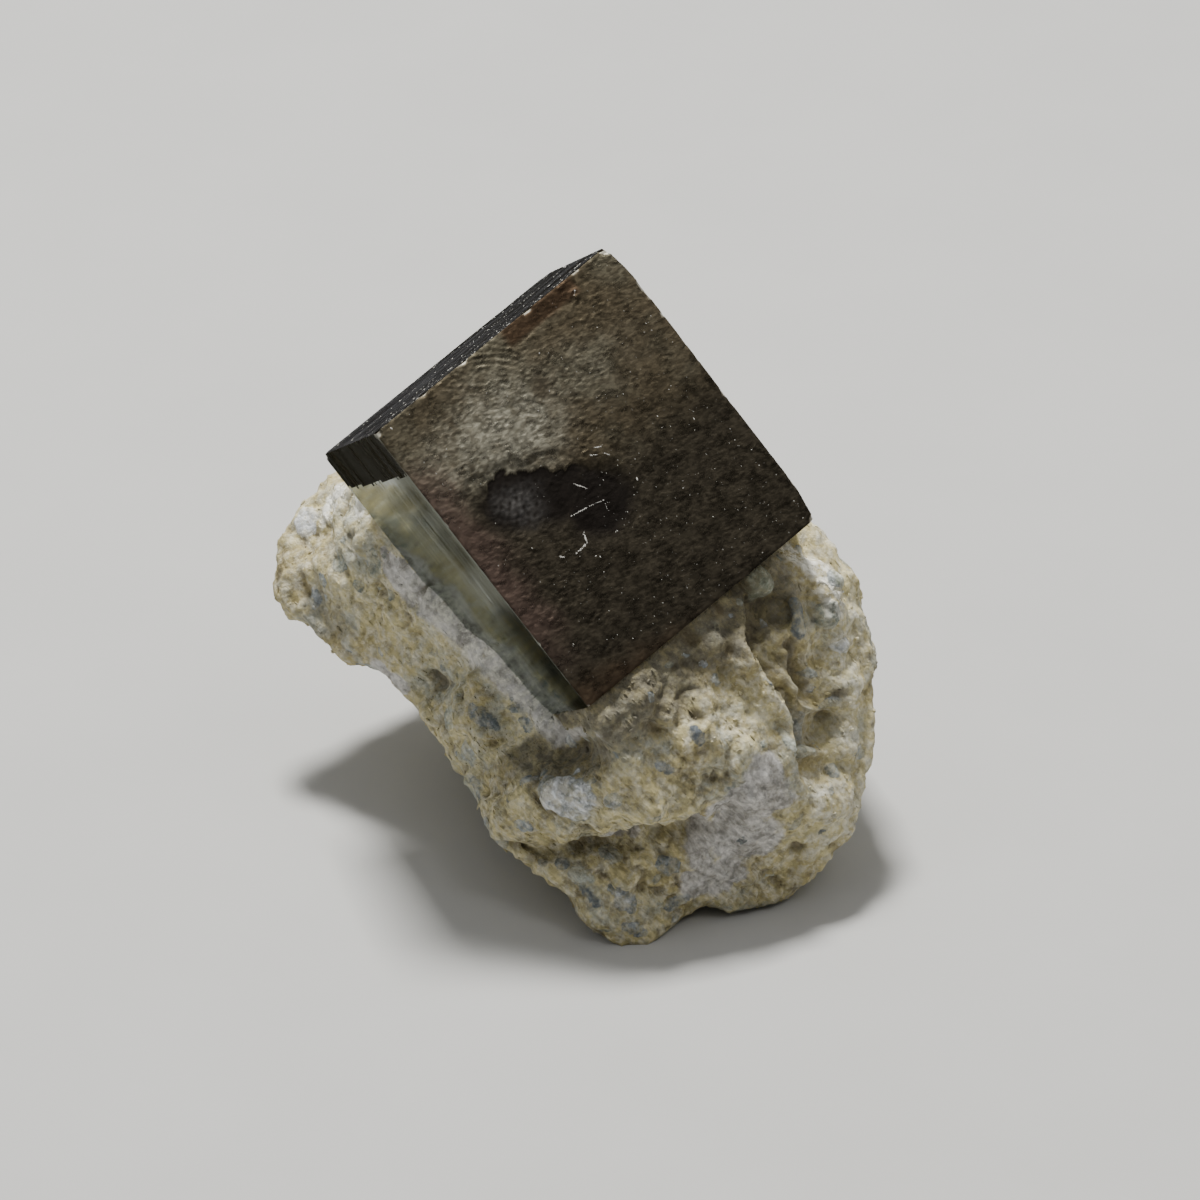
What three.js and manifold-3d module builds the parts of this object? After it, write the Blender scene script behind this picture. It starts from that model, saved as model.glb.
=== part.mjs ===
// Pyrite specimen: one cuboid crystal standing in a lump of marl.
// Millimetres, +Z up. The origin is under the middle of the piece, on the surface it rests on.
//
// Both pieces are laid out square to the line of sight on the crystal's big front face:
// x to the right, y up, z towards the viewer. The whole is then turned up to stand on its base.
import * as THREE from 'three';
import { mergeVertices } from 'three/addons/utils/BufferGeometryUtils.js';
import { ImprovedNoise } from 'three/addons/math/ImprovedNoise.js';
import Module from 'manifold-3d';

// The crystal
const crystalSize = new THREE.Vector3(21.5, 24.3, 15.4);
const crystalMiddle = new THREE.Vector3(-2.3, 8.05, -7.25);
const crystalTurn = new THREE.Euler(degrees(6.5), degrees(15.1), degrees(39.6), 'ZYX');
const crystalEdge = 0.06;
const terraceHeight = 0.13;
const terraceInset = 0.09;
const terraceRoot = 0.5;
const contactGap = 0.3;

// The lump of marl
const layoutTilt = 31;
const hub = new THREE.Vector3(1.4, -1.4, -9.5);
const lumpDetail = 19;
const frontShare = 0.6;
const outlineSwell = 0.18;
const spreadTowardsRim = 0.7;
const rimSharpness = 9;
const heartDepth = 15;
const backDepth = 20;
const backRoundness = 2.4;
const rimCalm = 0.45;
const rimCalmPower = 6;
const faceBlend = 0.8;
const facePower = 3.2;
const bumpPower = 1.5;
const bumpGain = 1.2;
const grains = [
  { size: 6.1, height: 0.9 },
  { size: 2.9, height: 0.8 },
  { size: 1.4, height: 0.5 },
];
const baseHeight = -25.3;
const baseDepth = 60;
const baseWidth = 120;
const weldDistance = 1e-4;

// Outline of the lump as seen on the layout, clockwise from the right: x, y, and how far behind.
const outline = [
  [19.4, -3.0, 9.8], [18.6, 1.2, 9.8], [17.0, 2.6, 9.9], [15.5, 4.1, 9.8], [14.8, 5.1, 9.5],
  [14.0, 6.8, 12.6], [10.5, 10.5, 15.1], [6.5, 12.7, 18.2], [1.5, 14.2, 21.0], [-4.0, 14.6, 21.7],
  [-9.5, 13.5, 21.8], [-14.6, 11.3, 21.8], [-19.4, 8.9, 21.0], [-21.3, 7.2, 21.0],
  [-22.7, 6.1, 21.0], [-23.5, 1.8, 20.5], [-22.8, -0.8, 20.0], [-20.9, -2.7, 19.3],
  [-17.9, -4.9, 18.3], [-15.9, -4.9, 17.5], [-13.7, -7.2, 16.0], [-11.7, -10.1, 13.7],
  [-9.4, -13.5, 11.8], [-7.1, -17.1, 8.8], [-4.9, -19.3, 7.6], [-1.9, -21.8, 7.4],
  [0.3, -24.0, 7.7], [1.8, -25.0, 7.8], [3.1, -24.8, 7.8], [5.1, -23.4, 8.8], [7.0, -21.9, 9.9],
  [11.8, -22.0, 11.2], [14.0, -21.0, 11.2], [15.5, -19.4, 11.1], [17.6, -17.5, 10.9],
  [18.2, -14.2, 10.6], [19.4, -10.8, 10.5], [19.4, -7.1, 10.2],
];

// Broken faces of the visible side, left of the crystal and right of it. right and up are how
// fast each one falls back that way.
const leftFaces = [
  { name: 'lobe top', x: -20.3, y: 5.8, behind: 18.3, right: -1.3, up: -0.1 },
  { name: 'lobe end', x: -21.0, y: 0.7, behind: 18.3, right: -0.9, up: -0.3 },
  { name: 'left shelf', x: -16.6, y: -1.4, behind: 15.5, right: -0.9, up: -0.4 },
  { name: 'shelf beside crystal', x: -15.1, y: 2.9, behind: 12.6, right: -0.9, up: -0.3 },
  { name: 'shelf below', x: -11.5, y: -3.6, behind: 11.9, right: -0.95, up: -0.5 },
  { name: 'shelf foot', x: -7.1, y: -8.5, behind: 8.8, right: -0.35, up: -0.15 },
  { name: 'left flank', x: -8.6, y: -12.1, behind: 10.2, right: -0.8, up: -0.3 },
  { name: 'cliff foot', x: -3.4, y: -10.5, behind: 7.0, right: -0.4, up: -0.1 },
];
const rightFaces = [
  { name: 'nose', x: 1.7, y: -8.4, behind: -0.2, right: 0.15, up: -0.25 },
  { name: 'nose low', x: 1.4, y: -13.3, behind: 0.9, right: 0.1, up: -0.35 },
  { name: 'front flank', x: -2.8, y: -14.1, behind: 3.9, right: -0.5, up: -0.3 },
  { name: 'low flank', x: -5.7, y: -15.2, behind: 6.3, right: -0.8, up: -0.3 },
  { name: 'beside edge', x: 5.6, y: -4.2, behind: 1.6, right: 0.3, up: 0 },
  { name: 'belly', x: 5.6, y: -10.5, behind: 1.4, right: 0.25, up: -0.3 },
  { name: 'belly right', x: 9.9, y: -5.6, behind: 3.5, right: 0.45, up: 0 },
  { name: 'under corner', x: 9.9, y: 0, behind: 4.3, right: 0.5, up: 0.1 },
  { name: 'shoulder', x: 13.5, y: 2.8, behind: 6.7, right: 0.6, up: 0.6 },
  { name: 'right high', x: 16.4, y: -2.8, behind: 8.1, right: 1.0, up: 0.1 },
  { name: 'right middle', x: 16.3, y: -8.5, behind: 7.7, right: 1.0, up: -0.2 },
  { name: 'right low', x: 16.4, y: -14.2, behind: 8.8, right: 0.9, up: -0.5 },
  { name: 'smooth patch', x: 10.3, y: -17.8, behind: 8.1, right: 0.35, up: -0.87 },
  { name: 'under ledge', x: -0.7, y: -19.1, behind: 6.0, right: 0.1, up: -0.4 },
  { name: 'toe', x: 2.8, y: -21.3, behind: 6.7, right: 0.15, up: -0.45 },
  { name: 'under ledge right', x: 7.1, y: -18.4, behind: 6.7, right: 0.3, up: -0.6 },
  { name: 'bed of crystal', x: 0, y: 5.5, behind: 7.4, right: 0.1, up: 0.2 },
  { name: 'behind crystal', x: -2.9, y: 12.3, behind: 18.2, right: 0, up: 1.0 },
];

// Rounded lumps standing out of the marl
const nodules = [
  { name: 'green nodule', x: 11.3, y: 1.4, radius: 1.5, height: 1.0 },
  { name: 'dark green nodule', x: 16.4, y: -1.3, radius: 1.3, height: 0.9 },
  { name: 'dark blue clast', x: 13.7, y: -1.4, radius: 0.9, height: 0.5 },
  { name: 'round pale clast', x: -2.6, y: -14.3, radius: 2.1, height: 0.55 },
  { name: 'grey clast', x: 0.6, y: -18.3, radius: 1.0, height: 0.5 },
  { name: 'blue clast', x: -8.7, y: -8.6, radius: 1.3, height: 0.5 },
  { name: 'ridge top', x: 10.4, y: -3.6, radius: 1.8, height: 0.7 },
  { name: 'ridge middle', x: 12.3, y: -6.6, radius: 1.7, height: 0.8 },
  { name: 'ridge foot', x: 14.0, y: -11.0, radius: 1.8, height: 0.8 },
  { name: 'lower right knob', x: 14.6, y: -19.6, radius: 1.6, height: 0.6 },
];

// Hollows
const pits = [
  { name: 'brown pit', x: -12.2, y: -6.5, radius: 1.3, height: -1.3 },
  { name: 'shelf pit', x: -13.6, y: 0, radius: 1.0, height: -0.7 },
  { name: 'right pit top', x: 12.5, y: -1.2, radius: 1.0, height: -0.9 },
  { name: 'right pit high', x: 15.1, y: -3.8, radius: 1.3, height: -1.4 },
  { name: 'right pit middle', x: 15.4, y: -6.6, radius: 1.2, height: -1.4 },
  { name: 'right pit low', x: 16.2, y: -9.0, radius: 1.2, height: -1.2 },
  { name: 'right pit foot', x: 15.6, y: -12.6, radius: 1.3, height: -1.1 },
];

// Lip of the ledge across the front; under it the marl is undercut.
const ledgeLip = [[-7.1, -16.7], [-3.9, -16.9], [-0.1, -16.3], [2.8, -15.6], [7.6, -14.8], [10.2, -13.4]];
const undercutDepth = 2.8;
const undercutReach = 1.7;
const undercutTaper = 2;

// The step that carries on the plane of the crystal's left side below its lower corner
const stepTop = -6.4;
const stepBottom = -11;
const stepFade = 1.6;
const stepInset = 3;

// How far round the crystal's front face the marl is held back, and by how much
const lapReach = 0.9;
const lapDepth = 0.5;

// Broken faces of the hidden side: the way each one faces once the piece stands up, and how far
// it lies from the hub.
const backFaces = [
  { name: 'back', facing: [0.1, 1, 0.12], distance: 21.5 },
  { name: 'back left', facing: [-0.6, 0.8, 0], distance: 26 },
  { name: 'back right', facing: [0.75, 0.66, 0.05], distance: 19 },
  { name: 'low left', facing: [-0.6, 0.15, -0.78], distance: 20.5 },
  { name: 'low right', facing: [0.75, 0.1, -0.65], distance: 21 },
  { name: 'low back', facing: [0, 0.6, -0.8], distance: 23.5 },
];

const wasm = await Module();
wasm.setup();
const noise = new ImprovedNoise();

function degrees(angle) {
  return THREE.MathUtils.degToRad(angle);
}

function toSolid(geometry) {
  const plain = geometry.clone();
  plain.deleteAttribute('normal');
  plain.deleteAttribute('uv');
  const merged = mergeVertices(plain, weldDistance);
  const mesh = new wasm.Mesh({
    numProp: 3,
    vertProperties: new Float32Array(merged.attributes.position.array),
    triVerts: new Uint32Array(merged.index.array),
  });
  return new wasm.Manifold(mesh);
}

function toGeometry(solid) {
  const mesh = solid.getMesh();
  const geometry = new THREE.BufferGeometry();
  geometry.setAttribute('position', new THREE.BufferAttribute(mesh.vertProperties, 3));
  geometry.setIndex(new THREE.BufferAttribute(mesh.triVerts, 1));
  geometry.computeVertexNormals();
  return geometry;
}

// A slab with a polygon outline, standing on one face of the crystal and sunk a little into it.
function plate(points, thickness) {
  const shape = new THREE.Shape(points.map(([x, y]) => new THREE.Vector2(x, y)));
  return new THREE.ExtrudeGeometry(shape, { depth: thickness, bevelEnabled: false });
}

// The block the crystal grew as, with its edges taken off by a hair.
function crystalBlock(grow) {
  const half = crystalSize.clone().multiplyScalar(0.5).addScalar(grow - terraceHeight);
  const edge = crystalEdge;
  const shape = new THREE.Shape();
  shape.moveTo(-half.x + edge, -half.y + edge);
  shape.lineTo(half.x - edge, -half.y + edge);
  shape.lineTo(half.x - edge, half.y - edge);
  shape.lineTo(-half.x + edge, half.y - edge);
  const block = new THREE.ExtrudeGeometry(shape, {
    depth: 2 * (half.z - edge),
    bevelEnabled: true,
    bevelThickness: edge,
    bevelSize: edge,
    bevelSegments: 1,
  });
  return block.translate(0, 0, -half.z + edge);
}

// Growth terraces: flat plates that carry each face out to its full size.
function terraces() {
  const half = crystalSize.clone().multiplyScalar(0.5);
  const x = half.x - terraceInset;
  const y = half.y - terraceInset;
  const z = half.z - terraceInset;
  const thickness = terraceRoot + terraceHeight;
  const front = [
    [-x, -y], [x, -y], [x, y], [x - 2.2, y - 0.1], [x - 2.9, y - 1.5], [x - 5.2, y - 1.9],
    [x - 6.3, y - 3.0], [x - 8.6, y - 2.3], [x - 9.8, y - 0.8], [x - 12, y - 0.1], [-x, y],
  ];
  const back = [[-x, -y], [x, -y], [x, y], [2.5, y], [1.2, y - 5.5], [-x, y - 7]];
  const left = [[-z, -y], [z, -y], [z, y], [-z, y]];
  const right = [[-z, -y], [z, -y], [z, 2], [3.5, 4.5], [1.5, y], [-z, y]];
  const top = [[-x, -z], [x, -z], [x, z - 1.2], [4, z - 1.5], [2.5, z - 0.7], [-3, z - 0.4], [-x, z]];
  const bottom = [[-x, -z], [x, -z], [x, z], [-x, z]];
  const quarter = Math.PI / 2;
  return [
    plate(front, thickness).translate(0, 0, half.z - thickness),
    plate(back, thickness).rotateY(2 * quarter).translate(0, 0, -half.z + thickness),
    plate(left, thickness).rotateY(-quarter).translate(-half.x + thickness, 0, 0),
    plate(right, thickness).rotateY(quarter).translate(half.x - thickness, 0, 0),
    plate(top, thickness).rotateX(-quarter).translate(0, half.y - thickness, 0),
    plate(bottom, thickness).rotateX(quarter).translate(0, -half.y + thickness, 0),
  ];
}

// Small breaks in the crystal's edges, each a wedge taken off with a turned block.
function edgeChips() {
  const half = crystalSize.clone().multiplyScalar(0.5);
  const places = [
    { at: [half.x, half.y, half.z], size: 1.0, turn: [0.7, 0.6, 0.2] },
    { at: [-half.x, half.y - 0.3, half.z], size: 0.8, turn: [0.2, 0.9, 0.5] },
    { at: [half.x, half.y - 4.2, half.z], size: 0.8, turn: [0.1, 0.8, 0.1] },
    { at: [half.x, half.y - 5.6, half.z], size: 0.6, turn: [0.2, 0.7, 0.2] },
    { at: [half.x, -1.2, half.z], size: 0.7, turn: [0.2, 0.8, -0.1] },
    { at: [half.x, -half.y, half.z], size: 0.8, turn: [0.5, 0.5, 0.1] },
    { at: [-3.1, half.y, half.z], size: 0.8, turn: [0.8, 0.2, 0.4] },
    { at: [3.4, half.y, -half.z], size: 0.9, turn: [0.7, 0.1, 0.3] },
  ];
  return places.map(({ at, size, turn }) => {
    const chip = new THREE.BoxGeometry(size, size, size);
    chip.rotateX(turn[0]).rotateY(turn[1]).rotateZ(turn[2]);
    return chip.translate(...at);
  });
}

function placeCrystal(geometry) {
  const turn = new THREE.Matrix4().makeRotationFromEuler(crystalTurn);
  return geometry.applyMatrix4(turn).translate(...crystalMiddle);
}

function crystalSolid() {
  let solid = toSolid(crystalBlock(0));
  for (const terrace of terraces()) {
    solid = solid.add(toSolid(terrace));
  }
  for (const chip of edgeChips()) {
    solid = solid.subtract(toSolid(chip));
  }
  return toSolid(placeCrystal(toGeometry(solid)));
}

// The outline's x, y and depth in a given direction from the hub.
const outlineByAngle = outline
  .map(([x, y, behind]) => ({ angle: Math.atan2(y - hub.y, x - hub.x), x, y, behind }))
  .sort((one, other) => one.angle - other.angle);

function outlineAt(angle) {
  const count = outlineByAngle.length;
  let after = outlineByAngle.findIndex((point) => point.angle > angle);
  if (after < 0) after = 0;
  const next = outlineByAngle[after];
  const last = outlineByAngle[(after + count - 1) % count];
  const full = 2 * Math.PI;
  const span = (next.angle - last.angle + full) % full;
  const part = ((angle - last.angle + full) % full) / span;
  return {
    x: THREE.MathUtils.lerp(last.x, next.x, part) + outlineSwell * Math.cos(angle),
    y: THREE.MathUtils.lerp(last.y, next.y, part) + outlineSwell * Math.sin(angle),
    behind: THREE.MathUtils.lerp(last.behind, next.behind, part),
  };
}

// Depth of a side of the lump, blended from its broken faces.
function sideDepth(faces, x, y) {
  let total = 0;
  let weights = 0;
  for (const face of faces) {
    const aside = x - face.x;
    const above = y - face.y;
    const weight = 1 / (aside * aside + above * above + faceBlend) ** facePower;
    total += weight * (face.behind + face.right * aside + face.up * above);
    weights += weight;
  }
  return total / weights;
}

// Depth of the plane of the crystal's left side face. Beside the crystal it is taken well
// inside, where the socket cuts it away.
function leftPlaneDepth(x, y) {
  const outward = new THREE.Vector3(-1, 0, 0).applyEuler(crystalTurn);
  const inside = stepInset * THREE.MathUtils.smoothstep(y, stepTop - stepFade, stepTop + stepFade);
  const reach = crystalSize.x / 2 - inside + outward.dot(crystalMiddle);
  return (outward.x * x + outward.y * y - reach) / outward.z;
}

// How far behind the layout plane the visible side lies. The marl left of the crystal and the
// marl right of it meet in a step along the plane of the crystal's left side.
function frontDepth(x, y) {
  const left = sideDepth(leftFaces, x, y);
  const right = sideDepth(rightFaces, x, y);
  const stepped = Math.max(right, Math.min(left, leftPlaneDepth(x, y)));
  const even = sideDepth([...leftFaces, ...rightFaces], x, y);
  const fade = THREE.MathUtils.smoothstep(y, stepBottom - stepFade, stepBottom + stepFade);
  return THREE.MathUtils.lerp(even, stepped, fade);
}

function bump(feature, x, y) {
  const away = Math.hypot(x - feature.x, y - feature.y) / feature.radius;
  return away < 1 ? feature.height * (1 - away * away) ** bumpPower * bumpGain : 0;
}

// Depth of the undercut below the ledge's lip.
function undercut(x, y) {
  const first = ledgeLip[0];
  const end = ledgeLip[ledgeLip.length - 1];
  if (x < first[0] || x > end[0]) return 0;
  const next = ledgeLip.findIndex((point) => point[0] > x);
  const [fromX, fromY] = ledgeLip[next - 1];
  const [toX, toY] = ledgeLip[next];
  const lip = THREE.MathUtils.lerp(fromY, toY, (x - fromX) / (toX - fromX));
  const below = lip - y;
  if (below < 0) return 0;
  const ends = Math.min(1, (x - first[0]) / undercutTaper, (end[0] - x) / undercutTaper);
  return undercutDepth * ends * Math.exp(-below / undercutReach);
}

function roughness(point, size, height) {
  return height * noise.noise(point.x / size, point.y / size, point.z / size);
}

function grain(point) {
  return grains.reduce((sum, { size, height }) => sum + roughness(point, size, height), 0);
}

// How far behind the layout plane the broken faces of the hidden side let the lump reach.
function backLimit(x, y) {
  let limit = Infinity;
  for (const face of backFaces) {
    const facing = new THREE.Vector3(...face.facing).normalize();
    facing.applyAxisAngle(new THREE.Vector3(1, 0, 0), -degrees(90 - layoutTilt));
    const aside = facing.x * (x - hub.x) + facing.y * (y - hub.y);
    limit = Math.min(limit, -hub.z + (face.distance - aside) / -facing.z);
  }
  return limit;
}

// One point of the lump: rim is 0 at the middle and 1 on the outline.
function visiblePoint(edge, rim) {
  const x = THREE.MathUtils.lerp(hub.x, edge.x, rim);
  const y = THREE.MathUtils.lerp(hub.y, edge.y, rim);
  let behind = frontDepth(x, y) + undercut(x, y);
  for (const feature of [...nodules, ...pits]) {
    behind -= bump(feature, x, y);
  }
  const turned = 1 - Math.sqrt(1 - Math.min(rim, 1) ** rimSharpness);
  return new THREE.Vector3(x, y, -THREE.MathUtils.lerp(behind, edge.behind, turned));
}

function hiddenPoint(edge, rim) {
  const x = THREE.MathUtils.lerp(hub.x, edge.x, rim);
  const y = THREE.MathUtils.lerp(hub.y, edge.y, rim);
  const middle = THREE.MathUtils.lerp(heartDepth, edge.behind, rim * rim);
  const swell = backDepth * (1 - Math.min(rim, 1) ** backRoundness) ** (1 / backRoundness);
  const behind = Math.max(edge.behind * rim, Math.min(middle + swell, backLimit(x, y)));
  return new THREE.Vector3(x, y, -behind);
}

// Keeps the marl just behind the crystal's front face where it laps round the lower corner.
function behindFrontFace(point) {
  const half = crystalSize.clone().multiplyScalar(0.5);
  const place = new THREE.Matrix4().makeRotationFromEuler(crystalTurn).setPosition(crystalMiddle);
  point.applyMatrix4(place.clone().invert());
  const beside = Math.max(Math.abs(point.x) - half.x, Math.abs(point.y) - half.y);
  if (beside < lapReach) point.z = Math.min(point.z, half.z - lapDepth);
  return point.applyMatrix4(place);
}

function lumpPoint(direction) {
  const edge = outlineAt(Math.atan2(direction.y, direction.x));
  const turn = Math.acos(THREE.MathUtils.clamp(direction.z, -1, 1)) / Math.PI;
  const front = turn < frontShare;
  const part = front ? turn / frontShare : (1 - turn) / (1 - frontShare);
  const rim = THREE.MathUtils.lerp(part, Math.sin(part * Math.PI / 2), spreadTowardsRim);
  const point = front ? visiblePoint(edge, rim) : hiddenPoint(edge, rim);
  const outward = point.clone().sub(hub).normalize();
  const calm = THREE.MathUtils.lerp(1, rimCalm, rim ** rimCalmPower);
  point.addScaledVector(outward, grain(point) * calm);
  return behindFrontFace(point);
}

function lumpSolid() {
  const geometry = new THREE.IcosahedronGeometry(1, lumpDetail);
  const places = geometry.attributes.position;
  const direction = new THREE.Vector3();
  for (let i = 0; i < places.count; i += 1) {
    direction.fromBufferAttribute(places, i).normalize();
    places.setXYZ(i, ...lumpPoint(direction));
  }
  return toSolid(geometry);
}

// Stands a layout solid up on its base.
function standUp(solid) {
  return toGeometry(solid).rotateX(degrees(90 - layoutTilt));
}

function marlSolid() {
  const socket = toSolid(placeCrystal(crystalBlock(terraceHeight + contactGap)));
  const lump = lumpSolid().subtract(socket);
  const below = new THREE.BoxGeometry(baseWidth, baseWidth, baseDepth);
  below.translate(0, 0, baseHeight - baseDepth / 2);
  return toSolid(standUp(lump)).subtract(toSolid(below));
}

function material(color, roughness, metalness) {
  return new THREE.MeshStandardMaterial({ color, roughness, metalness, flatShading: true });
}

function node(name, geometry, finish) {
  const mesh = new THREE.Mesh(geometry, finish);
  mesh.name = name;
  return mesh;
}

const marl = toGeometry(marlSolid());
const crystal = standUp(crystalSolid());

const specimen = new THREE.Group();
specimen.add(node('marl_matrix', marl, material(0xb5a888, 0.92, 0)));
specimen.add(node('pyrite_crystal', crystal, material(0x8a7a58, 0.35, 1)));

// The origin goes under the middle of the whole piece, at the height of its base.
const bounds = new THREE.Box3().setFromObject(specimen);
const middle = bounds.getCenter(new THREE.Vector3());
for (const piece of specimen.children) {
  piece.geometry.translate(-middle.x, -middle.y, -bounds.min.z);
}

export default specimen;
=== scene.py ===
import random
from math import atan2, cos, exp, floor, hypot, pi, radians, sin

import bmesh
import bpy
import numpy as np
from mathutils import Matrix, Vector, noise


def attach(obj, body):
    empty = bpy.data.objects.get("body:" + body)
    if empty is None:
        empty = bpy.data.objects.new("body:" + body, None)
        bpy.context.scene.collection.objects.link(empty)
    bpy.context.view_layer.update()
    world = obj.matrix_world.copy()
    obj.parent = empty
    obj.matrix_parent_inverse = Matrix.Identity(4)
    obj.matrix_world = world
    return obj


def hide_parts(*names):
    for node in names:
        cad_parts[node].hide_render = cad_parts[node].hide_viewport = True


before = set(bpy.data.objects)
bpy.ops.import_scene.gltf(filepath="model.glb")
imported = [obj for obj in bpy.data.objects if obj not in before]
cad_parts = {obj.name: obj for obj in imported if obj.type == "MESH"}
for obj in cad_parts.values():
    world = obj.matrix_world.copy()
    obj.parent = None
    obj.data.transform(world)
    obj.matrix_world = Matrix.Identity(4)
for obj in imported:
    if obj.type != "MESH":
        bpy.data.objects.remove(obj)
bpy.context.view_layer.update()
mm = 0.001
noise.seed_set(11)  # noise_vector takes its offsets from this seed

print("frame loaded:", sorted(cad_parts))

# where the photograph looks from
sight = {
    "centre": Vector((1.85, -12.63, 25.18)),  # mm, the point in the middle of the picture
    "tilt": 59.0,                             # degrees from looking straight down
    "distance": 497.0,                        # mm from that point to the lens
    "field": 84.0,                            # mm across the picture at that point
    "sensor": 36.0,
}
sightTurn = Matrix.Rotation(radians(sight["tilt"]), 3, "X")
sightBack = sightTurn.transposed()


def addObject(name, data):
    made = bpy.data.objects.new(name, data)
    bpy.context.scene.collection.objects.link(made)
    return made


def makeCamera():
    lens = bpy.data.cameras.new("photoLens")
    lens.sensor_width = sight["sensor"]
    lens.lens = sight["sensor"] * sight["distance"] / sight["field"]
    lens.clip_start = 0.01
    lens.clip_end = 20.0
    holder = addObject("photoCamera", lens)
    place = sight["centre"] + sightTurn @ Vector((0, 0, sight["distance"]))
    holder.matrix_world = Matrix.Translation(place * mm) @ sightTurn.to_4x4()
    bpy.context.scene.camera = holder


def isSocket(value):
    return isinstance(value, bpy.types.NodeSocket)


def setSockets(tree, node, sockets):
    for name, value in sockets.items():
        if isSocket(value):
            tree.links.new(value, node.inputs[name])
        else:
            node.inputs[name].default_value = value


def addNode(tree, kind, sockets=None, **settings):
    made = tree.nodes.new(kind)
    for name, value in settings.items():
        setattr(made, name, value)
    setSockets(tree, made, sockets or {})
    return made


def blendColours(tree, share, first, second, way="MIX"):
    made = addNode(tree, "ShaderNodeMix", data_type="RGBA", blend_type=way, clamp_factor=True)
    setSockets(tree, made, {0: share})
    for spot, colour in ((6, first), (7, second)):  # the two colour sockets
        setSockets(tree, made, {spot: colour if isSocket(colour) else (*colour, 1.0)})
    return made.outputs[2]


def reckon(tree, way, first, second=0.0, clamp=False):
    made = addNode(tree, "ShaderNodeMath", operation=way, use_clamp=clamp)
    setSockets(tree, made, {0: first, 1: second})
    return made.outputs[0]


def times(tree, first, second, clamp=False):
    return reckon(tree, "MULTIPLY", first, second, clamp)


def stretchRange(tree, value, low, high, toLow=0.0, toHigh=1.0):
    return addNode(tree, "ShaderNodeMapRange", {
        "Value": value, "From Min": low, "From Max": high, "To Min": toLow, "To Max": toHigh,
    }, interpolation_type="SMOOTHSTEP").outputs["Result"]


def cloudy(tree, where, scale, detail=4.0, rough=0.55, twist=0.0):
    return addNode(tree, "ShaderNodeTexNoise", {
        "Vector": where, "Scale": scale, "Detail": detail, "Roughness": rough, "Distortion": twist,
    }).outputs["Fac"]


def clouds(tree, where, kind, low, high, toLow=0.0, toHigh=1.0):
    # noise of the given scale, detail and roughness, stretched from between low and high
    return stretchRange(tree, cloudy(tree, where, *kind), low, high, toLow, toHigh)


def squeezed(tree, where, scale):
    return addNode(tree, "ShaderNodeMapping", {"Vector": where, "Scale": scale}).outputs[0]


def addBump(tree, shader, height, strength, distance):
    made = addNode(tree, "ShaderNodeBump", {
        "Height": height, "Strength": strength, "Distance": distance * mm})
    setSockets(tree, shader, {"Normal": made.outputs[0]})


def painted(tree, name):
    return addNode(tree, "ShaderNodeAttribute", attribute_name=name).outputs["Fac"]


def startMaterial(name):
    made = bpy.data.materials.new(name)
    made.use_nodes = True
    tree = made.node_tree
    shader = tree.nodes["Principled BSDF"]
    where = addNode(tree, "ShaderNodeTexCoord").outputs["Object"]
    return made, tree, shader, where


def readAll(rows, name, width=1, kind=np.float32):
    held = np.empty(len(rows) * width, dtype=kind)
    rows.foreach_get(name, held)
    return held.reshape(-1, width) if width > 1 else held


def meshFrom(bm, name):
    mesh = bpy.data.meshes.new(name)
    bm.to_mesh(mesh)
    bm.free()
    return mesh


def smoothen(bm, verts, factor):
    bmesh.ops.smooth_vert(bm, verts=verts, factor=factor, use_axis_x=True, use_axis_y=True,
                          use_axis_z=True)


def noiseAt(x, y, z):
    return noise.noise(Vector((x, y, z)))


def alongAcross(x, y, degrees):
    # the place x, y measured along and across a line that slants by so many degrees
    c, s = cos(radians(degrees)), sin(radians(degrees))
    return x * c + y * s, y * c - x * s


def keepValues(mesh, name, values):
    layer = mesh.attributes.new(name, "FLOAT", "POINT")
    layer.data.foreach_set("value", np.asarray(values, dtype=np.float32))


def easeStep(low, high, value):
    t = min(1.0, max(0.0, (value - low) / (high - low)))
    return t * t * (3 - 2 * t)


def easeSteps(low, high, values):
    t = np.clip((values - low) / (high - low), 0.0, 1.0)
    return t * t * (3 - 2 * t)


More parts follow.
